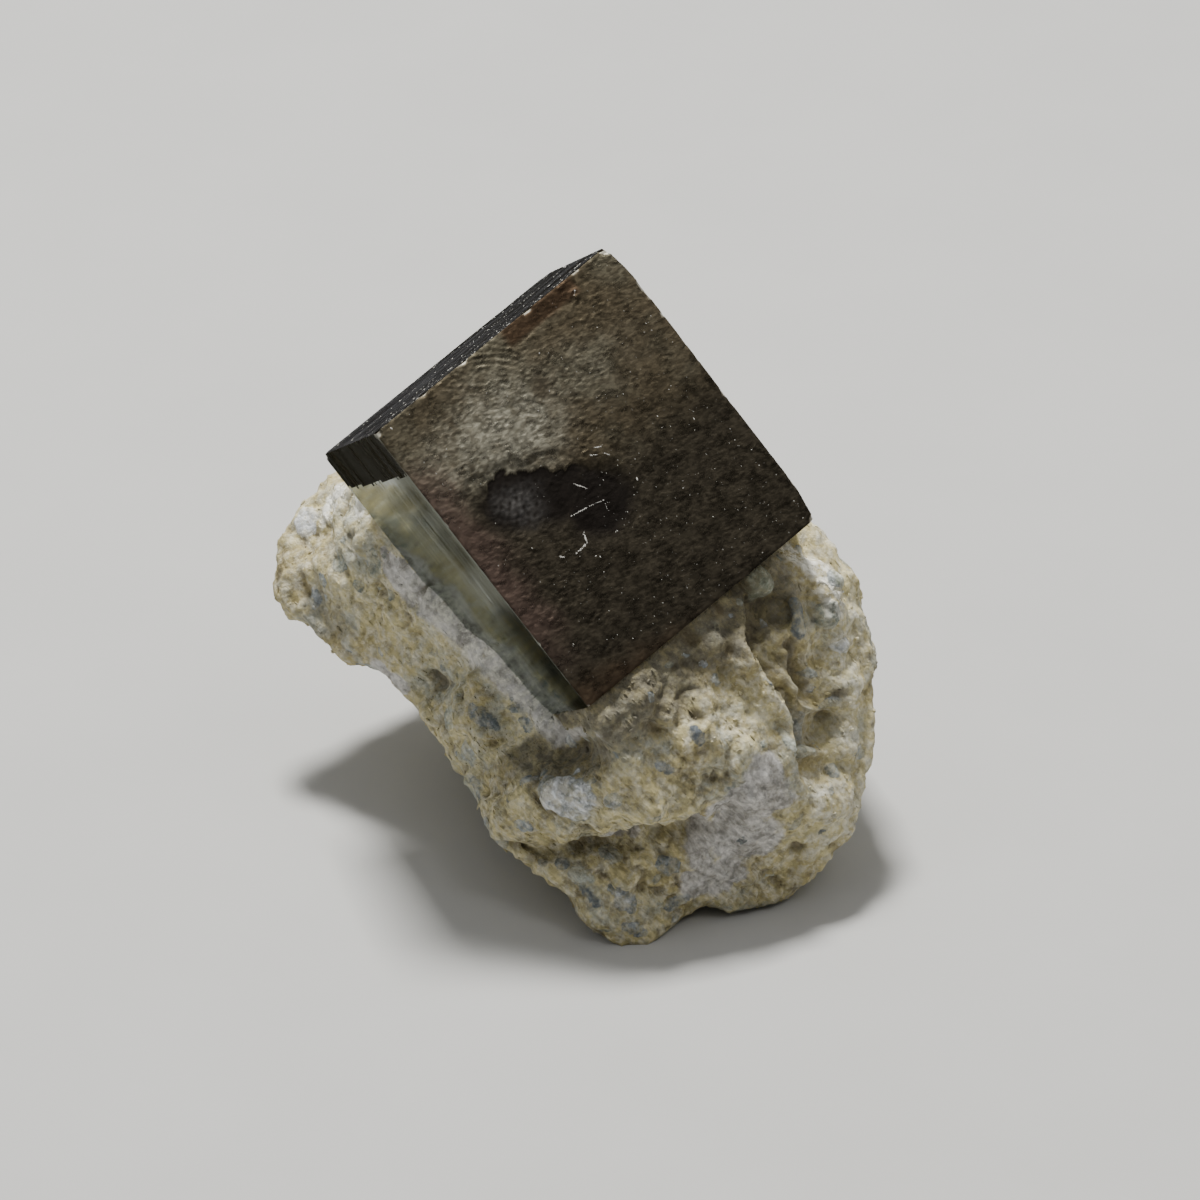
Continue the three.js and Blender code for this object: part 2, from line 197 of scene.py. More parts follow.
crystal = {
    "size": Vector((21.5, 24.3, 15.4)),     # mm
    "middle": Vector((-2.3, 8.05, -7.25)),  # mm, right, up and towards the lens
    "roll": 39.6,
    "swing": 15.1,
    "lean": 6.5,
    "cell": 0.22,            # mm between points, half of it on the front face
    "calmRim": 0.9,          # mm from an edge within which a side face's relief fades
    "edgeWear": 0.012,       # mm taken off every edge
    "edgeCrumble": 0.035,    # and this much more in places
    # front face: u up its left side to the top corner, v up its right side to the left corner
    "peel": {"height": 0.015, "upper": (-16, 0.40, 0.20), "lower": (-70, 0.7, 0.21),
             "finer": 0.6, "fine": 0.5},
    "bulge": 0.33,           # mm that the right side stands out past the straight block
    "swell": {"height": 0.03, "size": 4.2},
    # growth terraces of the other faces: pitch, rise, seed and number of levels
    "terraces": {"mirror": (3.4, 0.008, 21.0, 5), "thin": (1.1, 0.06, 33.0, 7),
                 "right": (1.5, 0.05, 41.0, 8), "under": (1.5, 0.06, 52.0, 6),
                 "back": (1.7, 0.07, 63.0, 8)},
    # the upper end of the mirror face, painted with a dark reflection
    "darkReflectionEnd": {"length": 3.4, "slant": 0.4},  # of the mirror face, in mm
    "lines": {"height": 0.009, "along": 7.0, "across": 0.26},
    "dish": {"depth": 0.05, "rim": 0.5, "fade": 1.2,
             "parts": [(-7.0, 3.5, 2.0, 2.1), (-5.9, 2.6, 2.9, 2.7), (-3.3, 1.2, 3.0, 2.8),
                       (-1.0, -1.5, 3.1, 2.8)]},
    # the upper growth layer ends in a scalloped edge, and below it the face is painted darker, a painted
    # dark reflection
    "layer": {"height": 0.06, "level": 0.2, "climb": 0.66, "bend": 1.2, "top": 4.7,
              "scallop": 1.05, "bite": 0.75, "sharp": 0.22, "soft": 5.5},
    "rings": {"place": (-0.85, -1.45), "radii": (1.25, 1.9, 2.7), "height": 0.009,
              "width": 0.11},
    "band": {"from": 0.4, "to": 7.4, "inner": 10.75, "outer": 12.15, "depth": 0.013, "steps": 5},
    "ripples": {"place": (-0.6, 11.05), "reach": (1.9, 1.15), "pitch": 0.45, "height": 0.024,
                "angle": -38.0},
    "curl": {"place": (6.9, 10.9), "radius": 0.42, "height": 0.05, "width": 0.13},
    # the painted sheen, a painted reflection on the upper left of the front face, in patches: u, v, half
    # length, half width, slant and strength
    "paintedSheen": [(-5.4, 6.6, 5.4, 3.0, -6, 0.80), (-1.9, 5.4, 3.2, 3.4, -10, 0.70),
              (-3.0, 9.0, 4.2, 2.6, 0, 0.35), (3.6, 6.4, 5.0, 3.0, -10, 0.16)],
    # a dark spot painted into the sheen, a painted dark reflection, given like a sheen patch
    "darkReflectionPatch": (0.8, 7.5, 1.1, 0.8, 70, 0.7),
    "frostPatch": [(-6.2, 2.5, 1.5, 1.2, -20, 0.75), (-5.4, 1.2, 1.4, 1.4, -20, 0.65),
                   (-4.4, 2.4, 1.3, 0.8, -20, 0.3)],
    "rustEdge": {"width": 3.6, "from": -7.5, "to": 9.0},
    # chips: the place in mm from the middle, or 1 or -1 for a side, then radius, depth and
    # how many times longer it is along its edge
    "chips": [((1, 1, 1), 0.62, 0.16, 1.0), ((-1, 1, 1), 0.44, 0.10, 1.0),
              ((1, 8.1, 1), 0.17, 0.05, 5.0), ((1, 5.9, 1), 0.15, 0.03, 1.4),
              ((1, -1.1, 1), 0.12, 0.03, 4.0), ((1, -9.2, 1), 0.13, 0.03, 2.5),
              ((3.4, 1, 1), 0.2, 0.06, 2.2), ((-2.6, 1, 1), 0.16, 0.05, 2.5),
              ((-6.2, 1, 1), 0.15, 0.05, 2.0), ((7.9, 1, 1), 0.14, 0.04, 3.0),
              ((-1, 4.0, 1), 0.12, 0.03, 1.5), ((-1, -6.5, 1), 0.12, 0.03, 1.6),
              ((1, 1, -1), 0.7, 0.22, 1.0), ((-1, 1, -1), 0.5, 0.14, 1.0),
              ((1, -1, 1), 0.42, 0.12, 1.0), ((6.5, 1, -1), 0.4, 0.12, 2.0),
              ((1, 1, -3.0), 0.3, 0.08, 1.6), ((-1, -1, 1), 0.2, 0.04, 1.0)],
}
crystalTurn = (Matrix.Rotation(radians(crystal["roll"]), 3, "Z")
               @ Matrix.Rotation(radians(crystal["swing"]), 3, "Y")
               @ Matrix.Rotation(radians(crystal["lean"]), 3, "X"))
crystalTurn = sightTurn @ crystalTurn
crystalMiddle = sight["centre"] + sightTurn @ crystal["middle"]


def growthSteps(face, across, along):
    # long flat terraces with narrow risers, as growth leaves them on a pyrite face
    pitch, rise, seed, levels = crystal["terraces"][face]
    wander = noiseAt(along / 9.0, across / 3.0, seed) * 0.8
    level = noiseAt(across / pitch + wander, along / 15.0, seed + 5.0) * levels
    whole = floor(level)
    return (whole + easeStep(0.32, 0.68, level - whole)) / levels * rise


def softPatch(u, v, patch):
    pu, pv, ru, rv, angle, strength = patch
    du, dv = u - pu, v - pv
    along, across = alongAcross(du, dv, angle)
    a, b = along / ru, across / rv
    return strength * exp(-1.4 * (a * a + b * b) ** 1.4)


def dishDepth(u, v):
    # 0 outside and 1 inside the shallow dark dish in the middle of the face
    dish = crystal["dish"]
    best = -9.0
    for pu, pv, ru, rv in dish["parts"]:
        best = max(best, (1.0 - hypot((u - pu) / ru, (v - pv) / rv)) * min(ru, rv))
    best += 0.35 * noiseAt(u / 0.9, v / 0.9, 9.1)
    upper = easeStep(-1.2, 1.6, u * 0.35 + v * 0.75)
    width = dish["rim"] + (1.0 - upper) * dish["fade"]
    return easeStep(-width * 0.3, width * 0.7, best)


def belowLayer(u, v):
    # 0 on the upper growth layer and 1 below its edge, which is scalloped and sharp on the left
    layer = crystal["layer"]
    edge = layer["level"] + layer["climb"] * max(0.0, layer["bend"] - u)
    edge = min(layer["top"], edge) - 0.5 * max(0.0, -6.2 - u)
    left = 1.0 - easeStep(-1.2, 2.6, u)
    left *= easeStep(-8.6, -6.6, u)
    bite = abs(noiseAt(u / layer["scallop"], v / layer["scallop"], 3.7)) * 2.0
    small = noiseAt(u / 0.3, v / 0.3, 9.1) * 0.1
    edge += left * (layer["bite"] * (bite - 0.5) + small)
    width = layer["soft"] + left * (layer["sharp"] - layer["soft"])
    return 1.0 - easeStep(-width * 0.5, width * 0.5, v - edge)


def frontRelief(u, v):
    peel, swell, lines = crystal["peel"], crystal["swell"], crystal["lines"]
    right = easeStep(-1.0, 6.0, u * 0.75 - v * 0.65)  # 0 on the upper left, 1 on the lower right
    ridges = 0.0
    for share, (angle, long, short) in ((1 - right, peel["upper"]), (right, peel["lower"])):
        along, across = alongAcross(u, v, angle)
        ridges += share * (noiseAt(along / long, across / short, 2.0) + peel["finer"] * noiseAt(
            along / long / peel["fine"], across / short / 0.55, 7.0))
    calm = 0.6 + 0.6 * easeStep(-0.25, 0.25, noiseAt(u / 3.3, v / 3.3, 4.4))
    h = peel["height"] * ridges * calm * (1.0 - 0.35 * right)
    h += swell["height"] * noiseAt(u / swell["size"], v / swell["size"], 8.0)
    h += lines["height"] * right * noiseAt(v / lines["along"], u / lines["across"], 12.0)
    sunk = dishDepth(u, v)
    h -= crystal["dish"]["depth"] * sunk + crystal["layer"]["height"] * belowLayer(u, v)
    h += 0.012 * sunk * noiseAt(u / 0.22, v / 0.22, 5.5)
    rings = crystal["rings"]
    far = hypot(u - rings["place"][0], (v - rings["place"][1]) * 1.15)
    for radius in rings["radii"]:
        wobble = radius + 0.12 * noiseAt(u, v, radius)
        h += rings["height"] * exp(-((far - wobble) / rings["width"]) ** 2)
    band = crystal["band"]
    inner = band["inner"] + 0.35 * noiseAt(u / 1.9, 0.3, 6.6)
    inBand = (easeStep(band["from"] - 0.35, band["from"] + 0.5, u)
              * (1 - easeStep(band["to"] - 0.5, band["to"] + 0.15, u)))
    depth = (v - inner) / (band["outer"] - inner)
    if depth > -0.2:
        level = max(0.0, depth) * band["steps"]
        stair = (floor(level) + easeStep(0.4, 0.75, level - floor(level))) / band["steps"]
        sink = easeStep(-0.1, 0.06, depth) * (1.15 - 0.55 * stair)
        h -= band["depth"] * sink * inBand
    ripples = crystal["ripples"]
    du, dv = u - ripples["place"][0], v - ripples["place"][1]
    along, across = alongAcross(du, dv, ripples["angle"])
    reach = exp(-(along / ripples["reach"][0]) ** 4 - (across / ripples["reach"][1]) ** 4)
    bow = across + 0.09 * along * along
    h += ripples["height"] * reach * (abs(sin(pi * bow / ripples["pitch"])) - 0.5)
    curl = crystal["curl"]
    du, dv = u - curl["place"][0], v - curl["place"][1]
    turn = atan2(dv, du)
    spiral = curl["radius"] * (0.62 + 0.16 * turn / pi)
    h += curl["height"] * exp(-((hypot(du, dv) - spiral) / curl["width"]) ** 2)
    return h


def sideRelief(axis, sign, q):
    # stepped growth and fine lines of the five faces that don't look at the lens
    if axis == 0 and sign < 0:  # the narrow mirror face on the left
        return (growthSteps("mirror", q.z, q.y)
                + 0.0015 * noiseAt(q.z / 0.5, q.y / 14.0, 2.0))
    if axis == 1 and sign > 0:  # the face that closes the top left
        return (growthSteps("thin", q.z, q.x)
                + 0.012 * noiseAt(q.z / 0.45, q.x / 1.6, 3.0))
    if axis == 0:
        return (growthSteps("right", q.z, q.y)
                + 0.004 * noiseAt(q.z / 0.45, q.y / 6.0, 6.0))
    if axis == 1:
        return growthSteps("under", q.x, q.z)
    return (growthSteps("back", q.x, q.y)
            + 0.005 * noiseAt(q.x / 0.4, q.y / 4.5, 9.0))


def makeCrystalBlock():
    size, half = crystal["size"], crystal["size"] / 2
    bm = bmesh.new()
    bmesh.ops.create_cube(bm, size=1.0)
    bmesh.ops.scale(bm, vec=size, verts=bm.verts)
    for axis in range(3):
        parallel = [e for e in bm.edges
                    if abs((e.verts[0].co - e.verts[1].co).normalized()[axis]) > 0.9]
        bmesh.ops.subdivide_edges(bm, edges=parallel, cuts=round(size[axis] / crystal["cell"]) - 1,
                                  use_grid_fill=True)
    onFront = [e for e in bm.edges if min(v.co.z for v in e.verts) > half.z - 1e-4]
    bmesh.ops.subdivide_edges(bm, edges=onFront, cuts=1, use_grid_fill=True)
    for f in bm.faces:  # 0 front, 1 mirror strip, 2 thin face on top, 3 the rest, 4 dark end
        f.smooth = True
        way = f.normal
        f.material_index = 0 if way.z > 0.7 else 1 if way.x < -0.7 else 2 if way.y > 0.7 else 3
        at = f.calc_center_median()
        # the upper end of the mirror face, where the painted dark reflection goes
        end = half.y - crystal["darkReflectionEnd"]["length"] - crystal["darkReflectionEnd"]["slant"] * at.z / half.z
        end += 0.25 * noiseAt(at.z / 0.35, 0.5, 3.0)
        if f.material_index == 1 and at.y > end:
            f.material_index = 4
    return bm


def chipCentres():
    half = crystal["size"] / 2
    for shares, radius, depth, longer in crystal["chips"]:
        spot = Vector([s * half[i] if abs(s) == 1 else s for i, s in enumerate(shares)])
        inward = -Vector([s if abs(s) == 1 else 0.0 for s in shares]).normalized()
        shorten = Vector([1.0 if abs(s) == 1 else 1.0 / longer for s in shares])
        yield spot, inward, radius, depth, shorten


def shapeCrystal(bm):
    half = crystal["size"] / 2
    chips = list(chipCentres())
    for v in bm.verts:
        q = v.co.copy()
        outer = [i for i in range(3) if abs(q[i]) > half[i] - 1e-4]
        moved = q.copy()
        for i in outer:
            sign = 1 if q[i] > 0 else -1
            rim = min(half[k] - abs(q[k]) for k in range(3) if k != i)
            if i == 2 and sign > 0:
                height = frontRelief(q.x, q.y)
            else:
                height = sideRelief(i, sign, q) * easeStep(0.0, crystal["calmRim"], rim)
            moved[i] += sign * height
        if len(outer) > 1:  # worn and slightly crumbled edges
            crumble = max(0.0, noise.noise(q / 0.55) - 0.12)
            crumble += 0.6 * max(0.0, noise.noise(q / 0.21) - 0.2)
            wear = crystal["edgeWear"] + crystal["edgeCrumble"] * crumble
            for i in outer:
                moved[i] -= wear * (1 if q[i] > 0 else -1)
        ahead = easeStep(-half.y, -half.y + 3.0, q.y) * (1.0 - easeStep(half.y - 3.0, half.y, q.y))
        moved.x += crystal["bulge"] * ahead * easeStep(half.x - 5.0, half.x, q.x)
        for spot, inward, radius, depth, shorten in chips:
            far = ((q - spot) * shorten).length
            if far < radius * 1.6:
                rough = 1.0 + 0.35 * noise.noise(q / 0.23)
                hollow = max(0.0, 1.0 - (far * rough / radius) ** 2)
                moved += inward * depth * hollow ** 0.6 * 1.4
        v.co = moved


def paintCrystal(flat, mesh):
    # how far each mark of the front face is present, from the flat block's own places; the sheen and the
    # darker face below the layer edge and in the dish are painted reflections, and the pale chips are
    # partly a painted glint
    names = ("paintedSheen", "paintedDarkReflection", "paintedDarkDishReflection", "frost", "rust", "dark", "freshAndGlint")
    paint = {name: np.zeros(len(flat)) for name in names}
    chips = [(spot, radius, shorten) for spot, _, radius, _, shorten in chipCentres()]
    half = crystal["size"] / 2
    edge, band = crystal["rustEdge"], crystal["band"]
    for n, q in enumerate(flat):
        # chips painted pale: the fresh fracture's own colour and a painted glint
        paint["freshAndGlint"][n] = max(
            1.0 - easeStep(radius * 0.5, radius * 1.1,
                           ((q - spot) * shorten).length + 0.12 * noise.noise(q / 0.2))
            for spot, radius, shorten in chips)
        if q.z < half.z - 1e-4:
            continue
        u, v = q.x, q.y
        sunk = dishDepth(u, v)
        patchy = (0.8 + 0.6 * noiseAt(u / 1.1, v / 1.1, 14.0)
                  + 0.5 * noiseAt(u / 0.42, v / 0.42, 15.0))
        patchy *= 1.0 - softPatch(u, v, crystal["darkReflectionPatch"])
        # painted sheen, a painted reflection, which stops at the layer edge
        light = sum(softPatch(u, v, p) for p in crystal["paintedSheen"]) * patchy
        below = belowLayer(u, v)
        paint["paintedSheen"][n] = min(1.0, light) * (1.0 - below)
        # below the layer edge and in the dark spot the face is painted darker, a painted dark reflection
        paint["paintedDarkReflection"][n] = max(below, softPatch(u, v, crystal["darkReflectionPatch"]))
        # and darker still in the dish, a painted dark reflection
        paint["paintedDarkDishReflection"][n] = sunk * below
        grainy = 0.6 + 0.9 * noiseAt(u / 0.3, v / 0.3, 17.0)
        frost = sum(softPatch(u, v, p) for p in crystal["frostPatch"]) * grainy
        paint["frost"][n] = min(1.0, max(0.0, frost)) * below
        near = 1.0 - easeStep(0.0, edge["width"], u + half.x
                              + 1.2 * noiseAt(u / 2.2, v / 2.2, 19.0))
        span = easeStep(edge["from"] - 3, edge["from"] + 2, v) * (
            1 - easeStep(edge["to"] - 3, edge["to"] + 1, v))
        paint["rust"][n] = near * span
        corner = hypot(u + half.x, v + half.y)
        foot = 1.0 - easeStep(0.5, 3.6, v + half.y + 0.25 * corner
                              + 0.8 * noiseAt(u / 1.4, v / 1.4, 27.0))
        inBand = (easeStep(band["from"], band["from"] + 0.8, u)
                  * (1 - easeStep(band["to"] - 0.3, band["to"] + 0.2, u))
                  * easeStep(band["inner"] - 0.2, band["inner"] + 0.3, v))
        paint["dark"][n] = min(1.0, 0.75 * foot + inBand)
    for name in names:
        keepValues(mesh, name, paint[name])


crystalFinish = {
    "front": (0.185, 0.152, 0.098),       # bronze brown
    "frontOlive": (0.235, 0.212, 0.148),
    # painted sheen, a painted reflection, and its darker specks
    "paintedSheenColour": (0.56, 0.53, 0.415),
    "paintedSheenTrough": (0.22, 0.20, 0.15),
    # painted dark reflections below the layer edge and in the dish
    "darkReflectionColour": (0.102, 0.087, 0.062),
    "darkDishReflectionColour": (0.026, 0.022, 0.019),
    "frostColour": (0.135, 0.128, 0.122),
    "rustColour": (0.215, 0.150, 0.122),
    "darkColour": (0.13, 0.088, 0.055),
    # the chips' fresh fracture, pale, and a painted glint
    "freshGlintColour": (0.42, 0.40, 0.34),
    "dustColour": (0.62, 0.61, 0.57),
    "mirror": (0.70, 0.75, 0.74),
    "mirrorStreak": (0.50, 0.54, 0.54),
    "mirrorEdge": (0.17, 0.18, 0.165),
    # the upper end of the mirror face, a painted dark reflection
    "mirrorEndReflection": (0.32, 0.315, 0.285),
    "thin": (0.26, 0.235, 0.17),
    "thinStreak": (0.12, 0.108, 0.08),
    "side": (0.44, 0.395, 0.275),
    "sideDark": (0.29, 0.252, 0.17),
    "sideStreak": (0.15, 0.122, 0.08),
    "tarnish": (0.20, 0.125, 0.085),
}


def darker(colour, share):
    return tuple(c * share for c in colour)


def inCrystal(tree, where):
    # object coordinates turned to run along the crystal's own edges, in metres from its middle
    back = crystalTurn.transposed()
    return addNode(tree, "ShaderNodeMapping", {
        "Vector": where,
        "Location": -(back @ crystalMiddle) * mm,
        "Rotation": back.to_euler("XYZ"),
    }).outputs["Vector"]


def makeFrontFinish():
    look = crystalFinish
    made, tree, shader, where = startMaterial("pyriteFront")
    here = inCrystal(tree, where)
    drift = clouds(tree, here, (190, 3), 0.38, 0.62)
    colour = blendColours(tree, drift, look["front"], look["frontOlive"])
    flecks = addNode(tree, "ShaderNodeMapping", {
        "Vector": here, "Rotation": (0, 0, radians(-16)), "Scale": (1.5, 1.0, 1.0),
    }, vector_type="TEXTURE").outputs[0]
    peel = clouds(tree, flecks, (3400, 1, 0.5), 0.38, 0.60)
    broad = clouds(tree, flecks, (900, 2), 0.36, 0.64, 0.45, 1.0)
    peel = times(tree, peel, broad)
    # the peel relief painted in as darker specks that stand in for its shading, with the same noise as
    # the bump below
    colour = blendColours(tree, times(tree, peel, 0.6), colour, darker(look["front"], 0.40))
    # painted sheen, a painted reflection, speckled by the peel
    bright = blendColours(tree, times(tree, peel, 0.8), look["paintedSheenColour"], look["paintedSheenTrough"])
    colour = blendColours(tree, painted(tree, "paintedSheen"), colour, bright)
    # the face painted darker below the layer edge, a painted dark reflection
    darkReflectionTone = blendColours(tree, peel, look["darkReflectionColour"], darker(look["darkReflectionColour"], 0.6))
    colour = blendColours(tree, painted(tree, "paintedDarkReflection"), colour, darkReflectionTone)
    rust = times(tree, painted(tree, "rust"), 0.8)
    colour = blendColours(tree, rust, colour, look["rustColour"])
    colour = blendColours(tree, painted(tree, "dark"), colour, look["darkColour"])
    # the dish painted near black, a painted dark reflection
    colour = blendColours(tree, painted(tree, "paintedDarkDishReflection"), colour, look["darkDishReflectionColour"])
    colour = blendColours(tree, painted(tree, "frost"), colour, look["frostColour"])
    # chips painted pale: fresh fracture and a painted glint
    freshAndGlint = painted(tree, "freshAndGlint")
    colour = blendColours(tree, freshAndGlint, colour, look["freshGlintColour"])
    shine = clouds(tree, here, (900, 4), 0.35, 0.65, 0.26, 0.40)
    shine = reckon(tree, "ADD", shine, times(tree, painted(tree, "paintedDarkDishReflection"), 0.12))
    shine = reckon(tree, "ADD", shine, times(tree, freshAndGlint, 0.3), clamp=True)
    setSockets(tree, shader, {"Base Color": colour, "Roughness": shine, "Metallic": 1.0,
                              "Specular Tint": (0.75, 0.72, 0.66, 1.0)})
    addBump(tree, shader, cloudy(tree, flecks, 3400, 1, 0.5), 0.55, 0.03)
    return made


def makeMirrorFinish():
    look = crystalFinish
    made, tree, shader, where = startMaterial("pyriteMirror")
    here = inCrystal(tree, where)
    lines = squeezed(tree, here, (1.0, 0.03, 1.0))
    streak = clouds(tree, lines, (2600, 4, 0.6), 0.36, 0.64)
    colour = blendColours(tree, times(tree, streak, 0.4), look["mirror"],
                          look["mirrorStreak"])
    across = addNode(tree, "ShaderNodeSeparateXYZ", {"Vector": here}).outputs["Z"]
    front = crystal["size"].z / 2 * mm
    colour = blendColours(tree, stretchRange(tree, across, front - 6.0 * mm, front - 1.6 * mm),
                          colour, look["mirrorEdge"])
    setSockets(tree, shader, {
        "Base Color": colour, "Metallic": 1.0, "Specular Tint": (0.45, 0.45, 0.42, 1.0),
        "Roughness": stretchRange(tree, streak, 0, 1, 0.08, 0.15)})
    addBump(tree, shader, cloudy(tree, lines, 2600, 2), 0.2, 0.005)
    return made


def makeDarkReflectionEnd():
    # the upper end of the mirror face, finely striated and made nearly black at a glancing look, a
    # painted dark reflection
    look = crystalFinish
    made, tree, shader, where = startMaterial("pyriteDarkReflectionEnd")
    lines = squeezed(tree, inCrystal(tree, where), (1.0, 0.04, 1.0))
    streak = clouds(tree, lines, (1900, 3, 0.6), 0.40, 0.62)
    setSockets(tree, shader, {
        "Base Color": blendColours(tree, streak, look["mirrorEndReflection"], darker(look["mirrorEndReflection"], 0.6)),
        "Metallic": 1.0, "Specular Tint": (0.04, 0.04, 0.045, 1.0),
        "Roughness": stretchRange(tree, streak, 0, 1, 0.16, 0.3)})
    addBump(tree, shader, cloudy(tree, lines, 2600, 2), 0.3, 0.01)
    return made


def makeThinFinish():
    # the face that closes the top left, with rows of bright flecks along its growth lines
    look = crystalFinish
    made, tree, shader, where = startMaterial("pyriteThinFace")
    here = inCrystal(tree, where)
    lines = squeezed(tree, here, (0.06, 1.0, 1.0))
    streak = clouds(tree, lines, (2100, 4, 0.6), 0.38, 0.62)
    colour = blendColours(tree, streak, look["thin"], look["thinStreak"])
    rows = clouds(tree, lines, (1200, 2), 0.50, 0.58)
    dots = addNode(tree, "ShaderNodeTexVoronoi", {"Vector": here, "Scale": 3400.0}).outputs
    fleck = reckon(tree, "SUBTRACT", 1.0, stretchRange(tree, dots["Distance"], 0.12, 0.3))
    patchy = clouds(tree, here, (900, 2), 0.46, 0.56)
    fleck = times(tree, times(tree, fleck, rows), patchy, clamp=True)
    setSockets(tree, shader, {
        "Base Color": blendColours(tree, fleck, colour, look["dustColour"]),
        "Metallic": reckon(tree, "SUBTRACT", 1.0, fleck),
        "Specular Tint": (0.03, 0.03, 0.035, 1.0),
        "Roughness": stretchRange(tree, streak, 0, 1, 0.2, 0.34),
        # a dull film, which takes more light away the flatter the look
        "Coat Weight": 1.0, "Coat IOR": 1.0, "Coat Tint": (0.94, 0.94, 0.943, 1.0)})
    addBump(tree, shader, cloudy(tree, lines, 3600, 4), 0.4, 0.02)
    return made


def makeSideFinish():
    look = crystalFinish
    made, tree, shader, where = startMaterial("pyriteSide")
    here = inCrystal(tree, where)
    lines = squeezed(tree, here, (1.0, 0.05, 1.0))
    drift = clouds(tree, lines, (420, 4), 0.34, 0.66)
    colour = blendColours(tree, drift, look["side"], look["sideDark"])
    streak = clouds(tree, lines, (1900, 4, 0.6), 0.40, 0.62)
    colour = blendColours(tree, times(tree, streak, 0.4), colour, look["sideStreak"])
    tarnish = clouds(tree, here, (330, 5, 0.65), 0.52, 0.70)
    setSockets(tree, shader, {
        "Base Color": blendColours(tree, times(tree, tarnish, 0.3), colour,
                                   look["tarnish"]),
        "Metallic": 1.0,
        "Roughness": clouds(tree, here, (800, 4), 0.35, 0.65, 0.14, 0.30)})
    addBump(tree, shader, cloudy(tree, lines, 2600, 3), 0.2, 0.012)
    return made


dust = {
    # scratches and dust on the front face: u and v of both ends in mm, width, how filled
    "lines": [(-1.61, 0.61, -1.09, -0.24, 0.05, 1.0), (-3.31, -1.0, -1.68, -1.3, 0.045, 0.8),
              (-1.68, -1.3, -0.61, -1.6, 0.035, 0.7), (-0.61, -1.6, -0.84, -2.2, 0.035, 0.45),
              (-3.28, -2.45, -3.5, -3.17, 0.10, 1.0), (-3.5, -3.17, -4.72, -3.29, 0.06, 0.8),
              (-5.67, -2.72, -5.45, -2.95, 0.06, 0.9), (-3.67, -4.2, -3.3, -4.6, 0.06, 0.5),
              (0.55, 1.45, 1.05, 1.15, 0.045, 0.6), (1.1, 1.7, 1.75, 1.35, 0.04, 0.5),
              (1.39, 1.05, 1.7, 0.6, 0.05, 0.5), (0.3, 0.2, 0.75, -0.3, 0.035, 0.3),
              (6.75, 10.85, 7.05, 11.15, 0.05, 0.8)],
    "dots": [(2.2, -1.94, 0.085), (-9.6, 11.7, 0.07), (0.2, -3.3, 0.05), (-6.9, -1.0, 0.05),
             (4.9, -7.4, 0.05), (8.2, -1.2, 0.05)],
    "specks": 620,           # on the front face in all, with the scratches
    "speckSize": (0.012, 0.040),
    # rows of flecks on the thin face: how far each row lies from the front face, in mm
    "rows": [0.5, 0.8, 2.4, 2.7, 5.2, 8.6, 9.0, 13.5, 14.6],
    "perRow": 34,
    "rowSize": (0.018, 0.055),
    "seed": 4,
}


def swarm(name, places):
    # many small angular bodies in one mesh; each place holds a middle, three axes and a seed
    bm = bmesh.new()
    bmesh.ops.create_icosphere(bm, subdivisions=1, radius=1.0)
    each = len(bm.verts)
    while len(bm.verts) < each * len(places):
        bmesh.ops.duplicate(bm, geom=bm.verts[:] + bm.edges[:] + bm.faces[:])
    bm.verts.ensure_lookup_table()
    spare = bm.verts[each * len(places):]
    for n, (middle, axes, seed) in enumerate(places):
        rng = random.Random(seed)
        for v in bm.verts[n * each:(n + 1) * each]:
            v.co = middle + axes @ (v.co * rng.uniform(0.72, 1.12))
    bmesh.ops.delete(bm, geom=spare, context="VERTS")
    bmesh.ops.scale(bm, vec=(mm, mm, mm), verts=bm.verts)
    piece = addObject(name, meshFrom(bm, name))
    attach(piece, "root")
    return piece


def makeDustFinish():
    made, tree, shader, where = startMaterial("faceDust")
    shade = clouds(tree, where, (3000, 3), 0.35, 0.65)
    setSockets(tree, shader, {
        "Base Color": blendColours(tree, shade, crystalFinish["dustColour"], (0.42, 0.41, 0.38)),
        "Roughness": stretchRange(tree, shade, 0, 1, 0.35, 0.6)})
    return made


